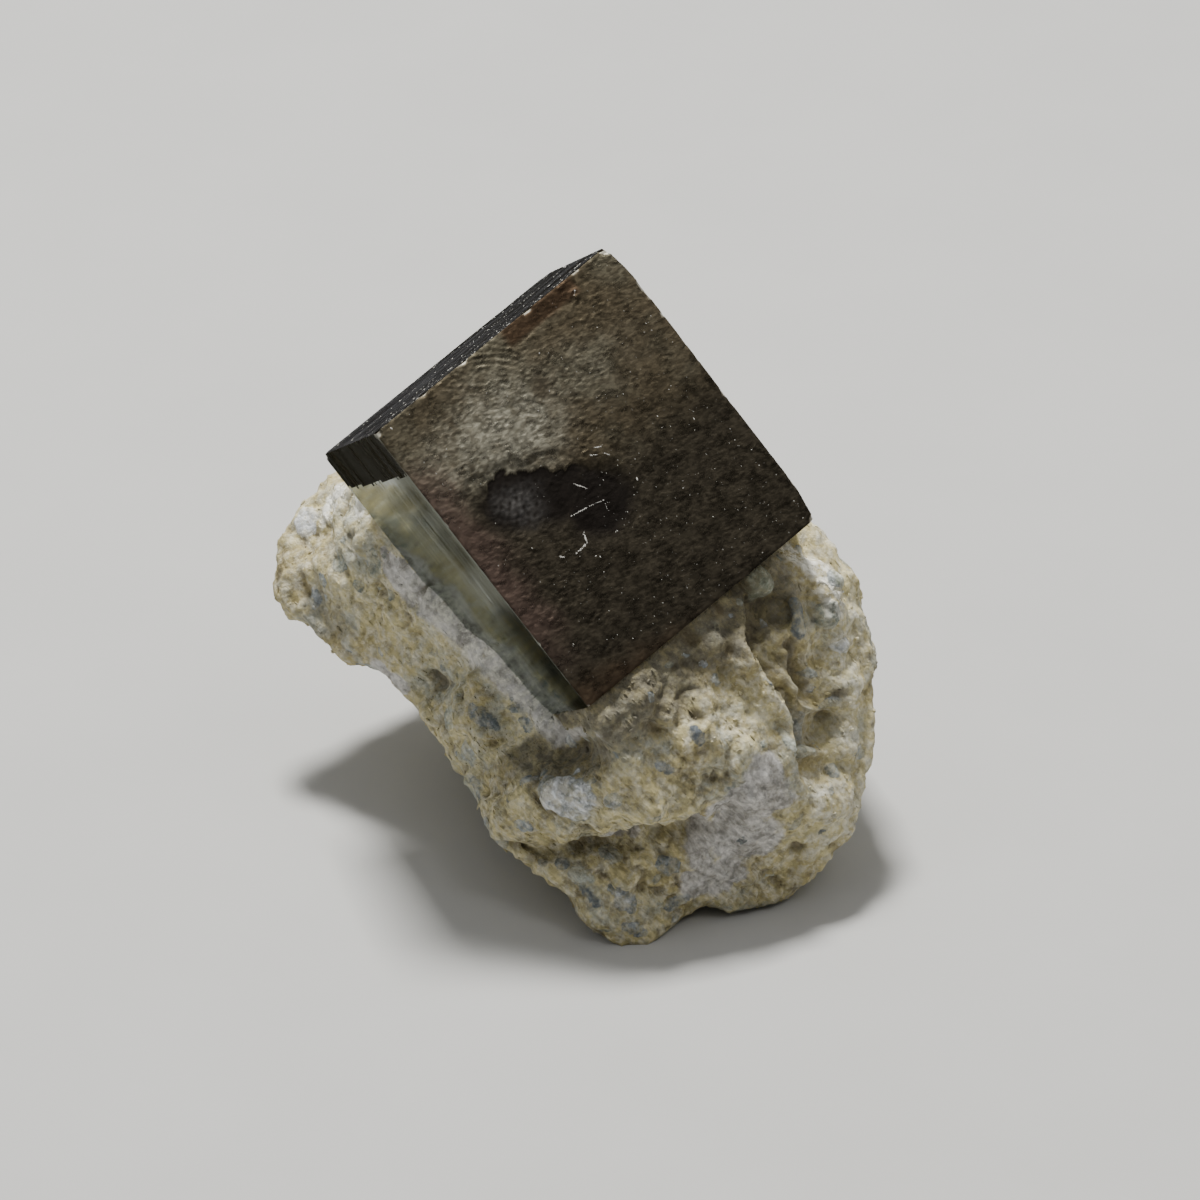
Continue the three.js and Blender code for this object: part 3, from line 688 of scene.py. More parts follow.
def makeDust():
    rng = random.Random(dust["seed"])
    half = crystal["size"] / 2
    spots = [(u, v, size) for u, v, size in dust["dots"]]
    for u0, v0, u1, v1, width, filled in dust["lines"]:
        steps = int(hypot(u1 - u0, v1 - v0) / (width * 0.8)) + 1
        for n in range(steps):
            if rng.random() < filled:
                t = (n + rng.uniform(-0.3, 0.3)) / steps
                spots.append((u0 + (u1 - u0) * t + rng.gauss(0, width * 0.3),
                              v0 + (v1 - v0) * t + rng.gauss(0, width * 0.3),
                              width * rng.uniform(0.5, 0.9)))
    while len(spots) < dust["specks"]:
        u, v = rng.uniform(-half.x, half.x) * 0.98, rng.uniform(-half.y, half.y) * 0.98
        if rng.random() < 0.15 + 0.85 * easeStep(-6.0, 8.0, u * 0.75 - v * 0.65):
            low, high = dust["speckSize"]
            spots.append((u, v, low + (high - low) * rng.random() ** 3))
    places = []
    for n, (u, v, size) in enumerate(spots):
        height = half.z + frontRelief(u, v) + size * 0.1
        turn = Matrix.Rotation(pi / 2 + rng.gauss(0, 0.5), 3, "Z")
        shape = Matrix.Diagonal(Vector((size * rng.uniform(0.9, 2.4), size * 0.8, size * 0.45)))
        places.append((crystalMiddle + crystalTurn @ Vector((u, v, height)),
                       crystalTurn @ turn @ shape, n))
    for row in dust["rows"]:
        for _ in range(dust["perRow"]):
            x = rng.uniform(-half.x, half.x) * 0.98
            q = Vector((x, half.y, half.z - row - 0.05 * rng.gauss(0, 1)))
            rim = min(half.x - abs(q.x), half.z - abs(q.z))
            q.y += sideRelief(1, 1, q) * easeStep(0.0, crystal["calmRim"], rim)
            low, high = dust["rowSize"]
            size = low + (high - low) * rng.random() ** 2
            shape = Matrix.Diagonal(Vector((size * rng.uniform(0.9, 2.2), size * 0.7, size)))
            places.append((crystalMiddle + crystalTurn @ q, crystalTurn @ shape, len(places)))
    piece = swarm("crystal_dust", places)
    piece.data.materials.append(makeDustFinish())
    print("dust on the crystal:", len(places), "flakes")


def makeCrystal():
    bm = makeCrystalBlock()
    flat = [v.co.copy() for v in bm.verts]
    shapeCrystal(bm)
    place = Matrix.Translation(crystalMiddle * mm) @ crystalTurn.to_4x4() @ Matrix.Scale(mm, 4)
    bmesh.ops.transform(bm, matrix=place, verts=bm.verts)
    bm.normal_update()
    mesh = meshFrom(bm, "crystal_body")
    mesh.set_sharp_from_angle(angle=radians(38))
    paintCrystal(flat, mesh)
    for finish in (makeFrontFinish(), makeMirrorFinish(), makeThinFinish(), makeSideFinish(),
                   makeDarkReflectionEnd()):
        mesh.materials.append(finish)
    piece = addObject("crystal_body", mesh)
    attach(piece, "root")
    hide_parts("pyrite_crystal")
    print("crystal made:", len(mesh.polygons), "faces")


marl = {
    "voxel": 0.262,         # mm
    "smoothing": 9,
    "knobs": {"height": 0.65, "size": 4.2},
    "lumps": {"height": 0.38, "along": 2.4, "across": 1.5},
    "crumbs": {"height": 0.14, "finer": 2.4},
    "facets": {"tilt": 0.42, "size": 1.6},
    "pockets": {"depth": 0.26, "size": 3.3, "reach": 0.22},
    "fibres": {"height": 0.21, "along": 2.8, "across": 0.48, "angle": -44.0},
    "grain": {"height": 0.08, "size": 0.55},
    # where the rock broke along a lip: points in the picture's plane, heights and depths in mm
    "lip": {"line": [(-8.2, -16.2), (-7.1, -16.7), (-3.9, -16.9), (-0.1, -16.3), (2.8, -15.6),
                     (7.8, -14.7)],
            "height": 0.36, "above": 0.9, "depth": 1.05, "below": 1.8},
    "ridge": {"line": [(14.0, -13.2), (13.6, -8.5), (12.2, -6.4), (10.2, -2.8), (9.8, 0.9)],
              "height": 0.34, "above": 0.9, "depth": 1.5, "below": 2.3},
    # the crystal's shadow painted onto the ground below it, on ground that is darker earth too
    "shade": {"near": 2.6, "far": 6.2, "end": 9.0, "share": 0.95},  # ground below the crystal
    "groove": {"depth": 0.07, "width": 0.12},  # round each clast
    "foot": 1.2,            # mm above the floor over which the relief sets in
    "taper": 1.6,           # mm over which a broken edge starts and ends
    "contact": 0.45,        # mm from the crystal within which the marl is drawn up to it
    "bite": 0.1,            # mm that it then runs under the crystal's faces
    "seed": 11,
    "hiddenClasts": 110,
    "hiddenPits": 45,
    "frontSpecks": 70,
    # what lies in the front, by kind: x and y in the picture's plane, half length, half width,
    # slant, tone from dark 0 to white 1, green share, height
    "spots": [("clast", [
        (-8.72, -8.17, 1.75, 0.62, -35, 0.16, 0.1, 0.16), (-5.6, -8.87, 0.85, 0.48, -20, 0.34, 0.1, 0.08),
        (-6.4, -7.84, 0.62, 0.36, 0, 0.3, 0.2, 0.05), (-2.5, -9.87, 0.62, 0.52, 0, 0.6, 0.1, 0.05),
        (-5.6, -12.2, 0.9, 0.36, 0, 0.36, 0.0, 0.05), (-2.66, -12.53, 1.25, 0.46, -15, 0.44, 0.1, 0.1),
        (-4.06, -13.3, 1.55, 1.45, 20, 0.22, 0.1, 0.1), (-2.6, -14.1, 2.45, 1.8, 5, 0.8, 0.0, 0.42),
        (0.77, -14.7, 0.85, 0.7, 10, 0.6, 0.2, 0.12), (4.83, -11.97, 0.78, 0.42, -20, 0.36, 0.0, 0.06),
        (7.0, -9.8, 1.0, 0.55, -50, 0.06, 0.0, 0.1),
    ]), ("lump", [
        (12.9, 2.3, 2.2, 1.3, -30, 0.0, 0.0, 0.65), (16.0, 1.2, 2.1, 1.4, -50, 0.0, 0.0, 0.7),
        (17.6, -2.1, 1.6, 2.1, 0, 0.0, 0.0, 0.6), (17.9, -6.0, 1.7, 1.8, 0, 0.0, 0.0, 0.6),
        (14.8, -7.6, 1.7, 1.0, -50, 0.0, 0.0, 0.45), (17.6, -9.6, 1.5, 1.6, 0, 0.0, 0.0, 0.5),
        (16.6, -14.0, 2.1, 1.6, 30, 0.0, 0.0, 0.55),
    ]), ("pit", [
        (14.8, -5.4, 2.8, 1.1, -58, 0.0, 0.0, -0.95),
    ]), ("lump", [
        (16.8, -4.2, 1.1, 0.9, 0, 0.0, 0.0, 0.5), (13.3, -2.6, 1.6, 0.9, -62, 0.0, 0.0, 0.45),
        (15.8, -11.6, 1.7, 1.1, -40, 0.0, 0.0, 0.5),
    ]), ("clast", [
        (-4.83, -18.4, 0.6, 0.5, 0, 0.2, 0.1, 0.06), (-3.1, -18.4, 0.62, 0.58, -30, 0.22, 0.1, 0.05),
        (0.7, -18.2, 1.08, 0.6, -35, 0.4, 0.3, 0.18), (5.3, -18.6, 1.05, 0.72, -20, 0.24, 0.1, 0.14),
        (-1.54, -19.7, 1.05, 0.7, -20, 0.52, 0.6, 0.06), (-0.77, -21.2, 1.05, 0.4, -45, 0.14, 0.1, 0.03),
        (0.77, -20.6, 0.75, 0.46, -45, 0.22, 0.2, 0.03), (2.03, -21.4, 1.15, 0.75, -50, 0.48, 0.0, 0.06),
        (2.66, -23.4, 1.2, 0.5, -30, 0.42, 0.0, 0.04), (5.74, -21.6, 1.05, 0.55, 20, 0.36, 0.1, 0.05),
        (-11.06, -8.33, 0.85, 0.95, 0, 0.52, 0.6, 0.05), (-9.66, -10.8, 1.05, 0.58, -60, 0.48, 0.3, 0.04),
        (-9.17, -13.2, 0.95, 0.5, -60, 0.34, 0.1, 0.06), (-5.6, -16.0, 0.85, 0.46, 10, 0.48, 0.1, 0.05),
        (11.6, 1.1, 1.35, 1.2, 0, 0.3, 0.9, 0.8), (14.35, -1.35, 1.9, 0.8, -68, 0.08, 0.1, 0.25),
        (16.2, -0.9, 1.1, 1.05, 0, 0.16, 0.6, 0.65), (16.5, 1.6, 0.9, 0.7, 0, 0.62, 0.2, 0.25),
        (16.6, -7.0, 0.8, 0.5, 20, 0.2, 0.1, 0.1), (14.9, -8.9, 1.2, 0.8, -30, 0.55, 0.3, 0.3),
        (16.8, 1.54, 0.85, 0.6, -30, 0.5, 0.9, 0.05), (17.1, -3.4, 0.85, 0.6, 10, 0.88, 0.1, 0.1),
        (8.66, -5.46, 0.52, 0.4, -50, 0.46, 0.2, 0.04), (3.96, -6.7, 0.42, 0.36, -50, 0.4, 0.1, 0.03),
        (14.2, -16.0, 0.95, 0.4, 75, 0.34, 0.4, 0.03), (13.6, -9.66, 1.15, 0.45, -60, 0.6, 0.6, 0.05),
        (15.5, -10.6, 0.85, 0.7, 0, 0.58, 0.7, 0.12), (18.4, -10.6, 0.62, 0.6, 0, 0.52, 0.2, 0.05),
        (16.6, -12.3, 0.6, 0.55, 0, 0.45, 0.2, 0.08), (15.4, -4.9, 0.6, 0.45, 0, 0.55, 0.3, 0.08),
        (-21.1, 5.5, 1.0, 1.25, 0, 1.15, 0.0, 0.1), (-18.55, 2.45, 0.72, 0.68, 0, 0.34, 0.5, 0.04),
        (-16.3, 2.3, 0.85, 0.9, 0, 0.3, 0.6, 0.05), (-17.3, 0.7, 0.52, 0.5, 0, 0.4, 0.5, 0.03),
        (-15.2, 0.2, 0.46, 0.42, 0, 0.42, 0.5, 0.03), (-19.95, 1.4, 0.62, 0.55, 0, 0.46, 0.2, 0.03),
        (-20.5, 0.0, 0.6, 0.9, 0, 0.44, 0.0, 0.04),
    ]), ("pit", [
        (-12.95, 0.18, 0.36, 0.3, 0, 0.3, 0.0, -0.25), (-11.7, -5.8, 1.25, 0.95, -20, 0.1, 0.0, -0.55),
        (14.0, -3.2, 0.9, 0.6, 0, 0.1, 0.0, -0.6), (17.1, -6.56, 0.85, 0.55, 0, 0.2, 0.3, -0.4),
        (15.3, -5.9, 0.6, 0.55, 0, 0.2, 0.2, -0.3), (13.6, -6.4, 1.05, 0.65, -70, 0.1, 0.0, -0.35),
        (16.4, -8.7, 0.8, 0.55, 0, 0.2, 0.3, -0.35), (14.0, -17.6, 0.85, 0.7, 30, 0.2, 0.8, -0.45),
        (6.3, -3.2, 0.85, 0.7, -30, 0.3, 0.1, -0.35), (10.3, 0.44, 0.62, 0.42, 0, 0.3, 0.0, -0.22),
        (8.8, -0.84, 0.52, 0.5, 0, 0.3, 0.0, -0.22), (9.3, -3.9, 0.62, 0.5, 0, 0.4, 0.0, -0.22),
        (6.9, -7.6, 0.8, 0.55, -40, 0.4, 0.0, -0.2), (4.4, -9.1, 1.1, 0.6, -30, 0.5, 0.0, -0.18),
    ]), ("mauve", [
        (10.9, -14.8, 3.6, 2.2, 15, 0.6, 0.0, 0.0), (10.2, -17.2, 4.0, 2.6, -10, 0.6, 0.0, -0.05),
        (11.7, -12.4, 1.9, 1.9, 0, 0.5, 0.0, 0.0), (7.3, -17.6, 1.6, 2.4, 0, 0.5, 0.0, 0.0),
        (8.4, -19.8, 3.0, 1.9, 15, 0.4, 0.0, 0.0), (1.2, -16.6, 1.6, 0.8, 0, 0.2, 0.0, 0.0),
        (-15.4, -5.25, 1.6, 0.9, -20, 0.4, 0.0, 0.0), (-14.2, -6.2, 1.2, 0.8, -20, 0.4, 0.0, 0.0),
        (-8.5, -3.8, 1.6, 1.0, -40, 0.2, 0.0, 0.0),
    ]), ("earthAndShade", [
        # painted darker and browner in two places: low on the left lobe, and in the groove beside the
        # right ridge, where it is painted shade
        (-19.4, -1.8, 2.6, 2.0, -30, 0.4, 0.0, 0.0), (14.6, -5.2, 3.0, 1.2, -58, 0.5, 0.0, 0.0),
    ]), ("chalk", [
        (-19.2, 6.9, 2.4, 1.4, 30, 0.4, 0.0, 0.0), (-17.2, 6.6, 1.8, 1.0, 0, 0.4, 0.0, 0.0),
        (14.8, 3.0, 2.6, 1.2, -20, 0.4, 0.0, 0.0), (11.8, 4.3, 1.8, 1.1, -30, 0.4, 0.0, 0.0),
        (16.6, 0.6, 1.1, 2.6, 0, 0.4, 0.0, 0.0),
    ])],
}


def makeMarlMesh():
    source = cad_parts["marl_matrix"].data
    bm = bmesh.new()
    bm.from_mesh(source)
    bmesh.ops.remove_doubles(bm, verts=bm.verts, dist=1e-6)
    rough = meshFrom(bm, "marlRough")
    holder = addObject("marlRough", rough)
    remesh = holder.modifiers.new("even", "REMESH")
    remesh.mode = "VOXEL"
    remesh.voxel_size = marl["voxel"] * mm
    seen = holder.evaluated_get(bpy.context.evaluated_depsgraph_get())
    even = bpy.data.meshes.new_from_object(seen)
    bpy.data.objects.remove(holder)
    bpy.data.meshes.remove(rough)
    return even


def crystalGap(points):
    # distance to the crystal's flat faces, and the way out of the nearest one, for many points
    half = np.array(crystal["size"]) / 2
    turn = np.array(crystalTurn)
    local = (points - np.array(crystalMiddle)) @ turn
    past = np.abs(local) - half
    nearest = past.argmax(axis=1)
    gap = past.max(axis=1)
    outward = np.zeros_like(local)
    rows = np.arange(len(local))
    outward[rows, nearest] = np.sign(local[rows, nearest])
    return local, gap, outward @ turn.T


def reliefAt(q, flow):
    # height of the broken surface at a point in the sight frame, and how deep in a groove it is
    knobs, lumps, crumbs, pockets = marl["knobs"], marl["lumps"], marl["crumbs"], marl["pockets"]
    fibres, grain, facets = marl["fibres"], marl["grain"], marl["facets"]
    base = knobs["height"] * noise.fractal(q / knobs["size"], 0.9, 2.1, 3)
    p = q + noise.noise_vector(q / 2.4) * 0.9
    along, across = alongAcross(p.x, p.y, fibres["angle"])
    bent = Vector((along / lumps["along"], across / lumps["across"], p.z / lumps["across"]))
    big = abs(noise.noise(bent)) * 2 - 0.4
    small = abs(noise.noise(bent * crumbs["finer"] + Vector((4.0, 4.0, 4.0)))) * 2 - 0.4
    rugged = 0.45 + 0.6 * easeStep(-0.25, 0.3, noise.noise(q / 5.0))
    rugged *= 1.0 - 0.35 * easeStep(10.0, 13.0, q.x)
    detail = rugged * (lumps["height"] * big + crumbs["height"] * small)
    detail += grain["height"] * noise.noise(q / grain["size"])
    cell = noise.voronoi(p / facets["size"])[1][0]
    tilt = noise.noise_vector(cell * 3.7 + Vector((0.3, 0.7, 0.1)))
    detail += facets["tilt"] * facets["size"] * tilt.dot(p / facets["size"] - cell) * rugged
    near = noise.voronoi(p / pockets["size"] + Vector((3.1, 5.7, 1.9)))[0][0]
    sunk = 1.0 - easeStep(pockets["reach"] * 0.3, pockets["reach"],
                          near + 0.1 * noise.noise(q / 0.6))
    detail -= pockets["depth"] * sunk * (1.0 - 0.6 * easeStep(9.0, 12.0, q.x))
    if flow > 0.01:
        p = q + noise.noise_vector(q / 5.0) * 0.7
        along, across = alongAcross(p.x, p.y, fibres["angle"])
        thread = noiseAt(along / fibres["along"], across / fibres["across"], p.z / 1.2)
        crest = max(0.0, 1.0 - abs(thread) * 4.0)
        detail += fibres["height"] * flow * (crest - 0.35)
    return base + detail, easeStep(0.06, -0.30, detail)


def brokenEdge(onPlane, edge):
    # height beside a broken edge, proud on one side and sunk on the other, and the sunk share
    best = np.full(len(onPlane), 99.0)
    side = np.zeros(len(onPlane))
    ends = np.ones(len(onPlane))
    points = [np.array(p) for p in edge["line"]]
    whole = sum(np.linalg.norm(b - a) for a, b in zip(points, points[1:]))
    before = 0.0
    for a, b in zip(points, points[1:]):
        run = b - a
        length = np.linalg.norm(run)
        t = np.clip(((onPlane - a) @ run) / length ** 2, 0.0, 1.0)
        off = onPlane - a - t[:, None] * run
        far = np.hypot(off[:, 0], off[:, 1])
        cross = (run[0] * off[:, 1] - run[1] * off[:, 0]) / length
        closer = far < best
        best = np.where(closer, far, best)
        side = np.where(closer, np.where(cross >= 0, 1.0, -1.0), side)
        passed = before + t * length
        taper = (easeSteps(0.0, marl["taper"], passed)
                 * easeSteps(0.0, marl["taper"], whole - passed))
        ends = np.where(closer, taper, ends)
        before += length
    proud = edge["height"] * np.exp(-(best / edge["above"]) ** 2) * (side > 0)
    sunk = easeSteps(0.0, 0.3, best) * np.exp(-(best / edge["below"]) ** 2) * (side < 0)
    return (proud - edge["depth"] * sunk) * ends, sunk * ends


def roughenMarl(mesh):
    count = len(mesh.vertices)
    points = readAll(mesh.vertices, "co", 3, float) / mm
    normals = readAll(mesh.vertex_normals, "vector", 3).astype(float)
    back = np.array(sightBack)
    seen = (points - np.array(sight["centre"])) @ back.T
    facing = (normals @ back.T)[:, 2]
    scale = sight["distance"] / (sight["distance"] - seen[:, 2])
    onPlane = seen[:, :2] * scale[:, None]
    local, gap, _ = crystalGap(points)

    flow = easeSteps(-8.0, -14.0, seen[:, 1]) * easeSteps(-0.1, 0.3, facing)
    flow *= 1.0 - easeSteps(12.0, 15.0, seen[:, 0])
    flow = np.maximum(flow, 0.45)

    kinds = {name: np.zeros(count)
             for name in ("clast", "tone", "green", "pit", "mauve", "earthAndShade", "chalk")}
    spotHeight = np.zeros(count)
    calm = np.zeros(count)
    rng = random.Random(marl["seed"])
    spots = [((*row[:5], kind, *row[5:]), None) for kind, rows in marl["spots"] for row in rows]
    free = np.where((gap > 1.2) & (points[:, 2] > 0.8) & (facing < 0.05))[0]
    for _ in range(marl["hiddenClasts"]):
        size = rng.uniform(0.35, 1.5) ** 1.4 + 0.1
        spots.append(((0, 0, size, size * rng.uniform(0.4, 0.95), rng.uniform(-90, 90), "clast",
                       rng.uniform(0.08, 0.85), rng.choice((0.1, 0.1, 0.3, 0.8)),
                       rng.uniform(0.02, 0.16)), rng.choice(free)))
    for _ in range(marl["hiddenPits"]):
        size = rng.uniform(0.35, 1.1)
        spots.append(((0, 0, size, size * rng.uniform(0.5, 1.0), rng.uniform(-90, 90), "pit",
                       0.2, 0.0, -0.4 * size), rng.choice(free)))
    front = np.where((gap > 0.9) & (points[:, 2] > 0.5) & (facing > 0.3))[0]
    for _ in range(marl["frontSpecks"]):
        size = rng.uniform(0.22, 0.42)
        spots.append(((0, 0, size, size * rng.uniform(0.5, 1.0), rng.uniform(-70, 20), "clast",
                       rng.uniform(0.2, 0.7), rng.choice((0.0, 0.2, 0.6)), 0.02),
                      rng.choice(front)))

    for (x, y, length, width, slant, kind, tone, green, height), middle in spots:
        if middle is None:
            off = np.hypot(onPlane[:, 0] - x, onPlane[:, 1] - y)
            close = np.where((off < 0.5) & (facing > 0.1) & (gap > 0.15))[0]
            if len(close) == 0:
                print("no marl under the spot at", x, y)
                continue
            middle = close[seen[close, 2].argmax()]
        normal = Vector(normals[middle])
        right = sightTurn @ Vector((cos(radians(slant)), sin(radians(slant)), 0))
        along = (right - normal * right.dot(normal))
        if along.length < 0.15:
            along = normal.orthogonal()
        along.normalize()
        across = normal.cross(along)
        offset = points - points[middle]
        a = offset @ np.array(along) / length
        b = offset @ np.array(across) / width
        c = offset @ np.array(normal) / max(0.8, (0.5 if kind in ("clast", "pit") else 1.2) * length)
        far = np.sqrt(a * a + b * b + c * c)
        touched = np.where(far < 1.5)[0]
        wobble = np.array([noise.noise(Vector(points[i]) / 0.8 + Vector((tone * 9, 0, 0)))
                           for i in touched]) * 0.22
        d = far[touched] + wobble
        inside = 1.0 - easeSteps(0.82, 1.08, d)
        if kind == "clast":
            dome = np.sqrt(np.clip(1.0 - d * d * 0.8, 0, 1))
            rimGroove = np.exp(-((d - 1.08) / marl["groove"]["width"]) ** 2) * marl["groove"]["depth"]
            spotHeight[touched] += height * dome * inside - rimGroove
            kinds["clast"][touched] = np.maximum(kinds["clast"][touched], inside)
            share = inside > 0.3
            kinds["tone"][touched[share]] = tone
            kinds["green"][touched[share]] = green
            calm[touched] = np.maximum(calm[touched], inside * 0.8)
        elif kind == "pit":
            inside = 1.0 - easeSteps(0.3, 1.05, d)
            spotHeight[touched] += height * inside
            # the pit is painted dark brown too, a painted shade in it
            kinds["pit"][touched] = np.maximum(kinds["pit"][touched], inside)
            kinds["green"][touched] = np.maximum(kinds["green"][touched], inside * green)
        else:
            inside = 1.0 - easeSteps(0.6, 1.15, d)
            spotHeight[touched] += height * inside
            if kind != "lump":  # a lump has no finish of its own
                share = inside * (tone if kind == "earthAndShade" else 1.0)
                kinds[kind][touched] = np.maximum(kinds[kind][touched], share)
            if kind in ("mauve", "chalk"):
                calm[touched] = np.maximum(calm[touched], inside * 0.6)

    # the smooth mauve strip that the crystal's left face leaves along the contact
    beside = (-crystal["size"].x / 2) - local[:, 0]
    strip = easeSteps(0.0, 0.2, beside) * (1.0 - easeSteps(0.9, 1.9, beside))
    strip *= easeSteps(-0.3, 0.1, facing) * (1.0 - easeSteps(1.6, 2.8, gap))
    calm = np.maximum(calm, strip * 0.7)
    kinds["mauve"] = np.maximum(kinds["mauve"], strip)

    # the crystal's shadow painted onto the ground below its lower right edge, darkest beside it, on
    # ground that is darker earth as well
    shade = marl["shade"]
    below = easeSteps(0.0, 0.4, -crystal["size"].y / 2 - local[:, 1])
    below *= easeSteps(-0.1, 0.3, facing) * (1.0 - easeSteps(shade["near"], shade["far"], gap))
    below *= (1.0 - strip) * (1.0 - easeSteps(shade["end"] - 3.0, shade["end"], local[:, 0]))
    kinds["earthAndShade"] = np.maximum(kinds["earthAndShade"], shade["share"] * below)

    front = easeSteps(0.0, 0.2, facing)
    edges = []
    for edge in (marl["lip"], marl["ridge"]):
        beside, shaded = brokenEdge(onPlane, edge)
        calm = np.maximum(calm, 0.6 * front * np.clip(beside / edge["height"], 0.0, 1.0))
        # the sunk side below the lip and ridge is painted dark like the pits, a painted shade
        kinds["pit"] = np.maximum(kinds["pit"], 0.6 * shaded * front)
        edges.append(beside * front)

    heights = np.zeros(count)
    hollow = np.zeros(count)
    for i in range(count):
        if gap[i] < 0.25:
            continue
        h, sunk = reliefAt(Vector(seen[i]), flow[i])
        heights[i] = h * (1.0 - 0.7 * calm[i])
        # groove depth, kept for the painted shade in the grooves
        hollow[i] = sunk * (1.0 - calm[i])
    heights += spotHeight + sum(edges)
    heights *= easeSteps(0.1, 0.9, gap)
    heights *= easeSteps(0.0, marl["foot"], points[:, 2])
    moved = points + normals * heights[:, None]

    # drawn up against the crystal, so that no gap shows round it
    _, gap, outward = crystalGap(moved)
    pull = 1.0 - easeSteps(marl["contact"], marl["contact"] + 0.35, gap)
    moved -= outward * (np.maximum(gap, -0.3) + marl["bite"])[:, None] * pull[:, None] * (
        gap > -0.25)[:, None]
    moved[:, 2] = np.maximum(moved[:, 2], 0.0)
    mesh.vertices.foreach_set("co", (moved * mm).ravel())
    mesh.update()
    bm = bmesh.new()
    bm.from_mesh(mesh)
    free = [v for v, far in zip(bm.verts, gap) if far > 0.6 and v.co.z > 0.3 * mm]
    smoothen(bm, free, 0.35)
    bm.to_mesh(mesh)
    bm.free()

    frost = easeSteps(2.2, 0.4, gap) * easeSteps(-2.0, 0.0, -seen[:, 1]) * (1.0 - below)
    frost = np.maximum(frost, 0.7 * easeSteps(0.12, 0.42, heights) * easeSteps(8.0, 15.0,
                                                                               seen[:, 0]))
    kinds.update(hollow=hollow, flow=flow, frost=frost * (1 - kinds["clast"]),
                 grit=np.zeros(count))
    for name, values in kinds.items():
        keepValues(mesh, name, values)


marlFinish = {
    "cream": (0.585, 0.52, 0.285),
    "ochre": (0.425, 0.362, 0.178),
    "slate": (0.335, 0.365, 0.345),
    "brown": (0.125, 0.100, 0.056),
    # darker earth and painted shade: below the crystal and in the groove beside the right ridge
    "earthAndShade": (0.112, 0.100, 0.070),
    "pale": (0.66, 0.645, 0.56),
    "chalk": (0.86, 0.85, 0.76),
    "mauve": (0.60, 0.585, 0.57),
    "mauveDark": (0.30, 0.29, 0.275),
    "clastDark": (0.13, 0.15, 0.165),
    "clastMid": (0.30, 0.325, 0.33),
    "clastPale": (0.72, 0.74, 0.75),
    "greenDark": (0.17, 0.185, 0.125),
    "greenPale": (0.45, 0.48, 0.38),
}


def alongFibres(tree, where, stretch):
    # object coordinates stretched along the torn fibres of the belly and toe
    angle = radians(marl["fibres"]["angle"])
    along = sightTurn @ Vector((cos(angle), sin(angle), 0))
    across = sightTurn @ Vector((-sin(angle), cos(angle), 0))
    turn = Matrix((along, across, along.cross(across))).transposed()
    return addNode(tree, "ShaderNodeMapping", {
        "Vector": where, "Rotation": turn.to_euler("XYZ"), "Scale": (stretch, 1.0, 1.0),
    }, vector_type="TEXTURE").outputs[0]


def ragged(tree, where, name, kind, rough, low, high):
    # a painted area with its edge made uneven by noise of that scale, detail and roughness
    uneven = times(tree, reckon(tree, "SUBTRACT", cloudy(tree, where, *kind), 0.5), rough)
    return stretchRange(tree, reckon(tree, "ADD", painted(tree, name), uneven), low, high)


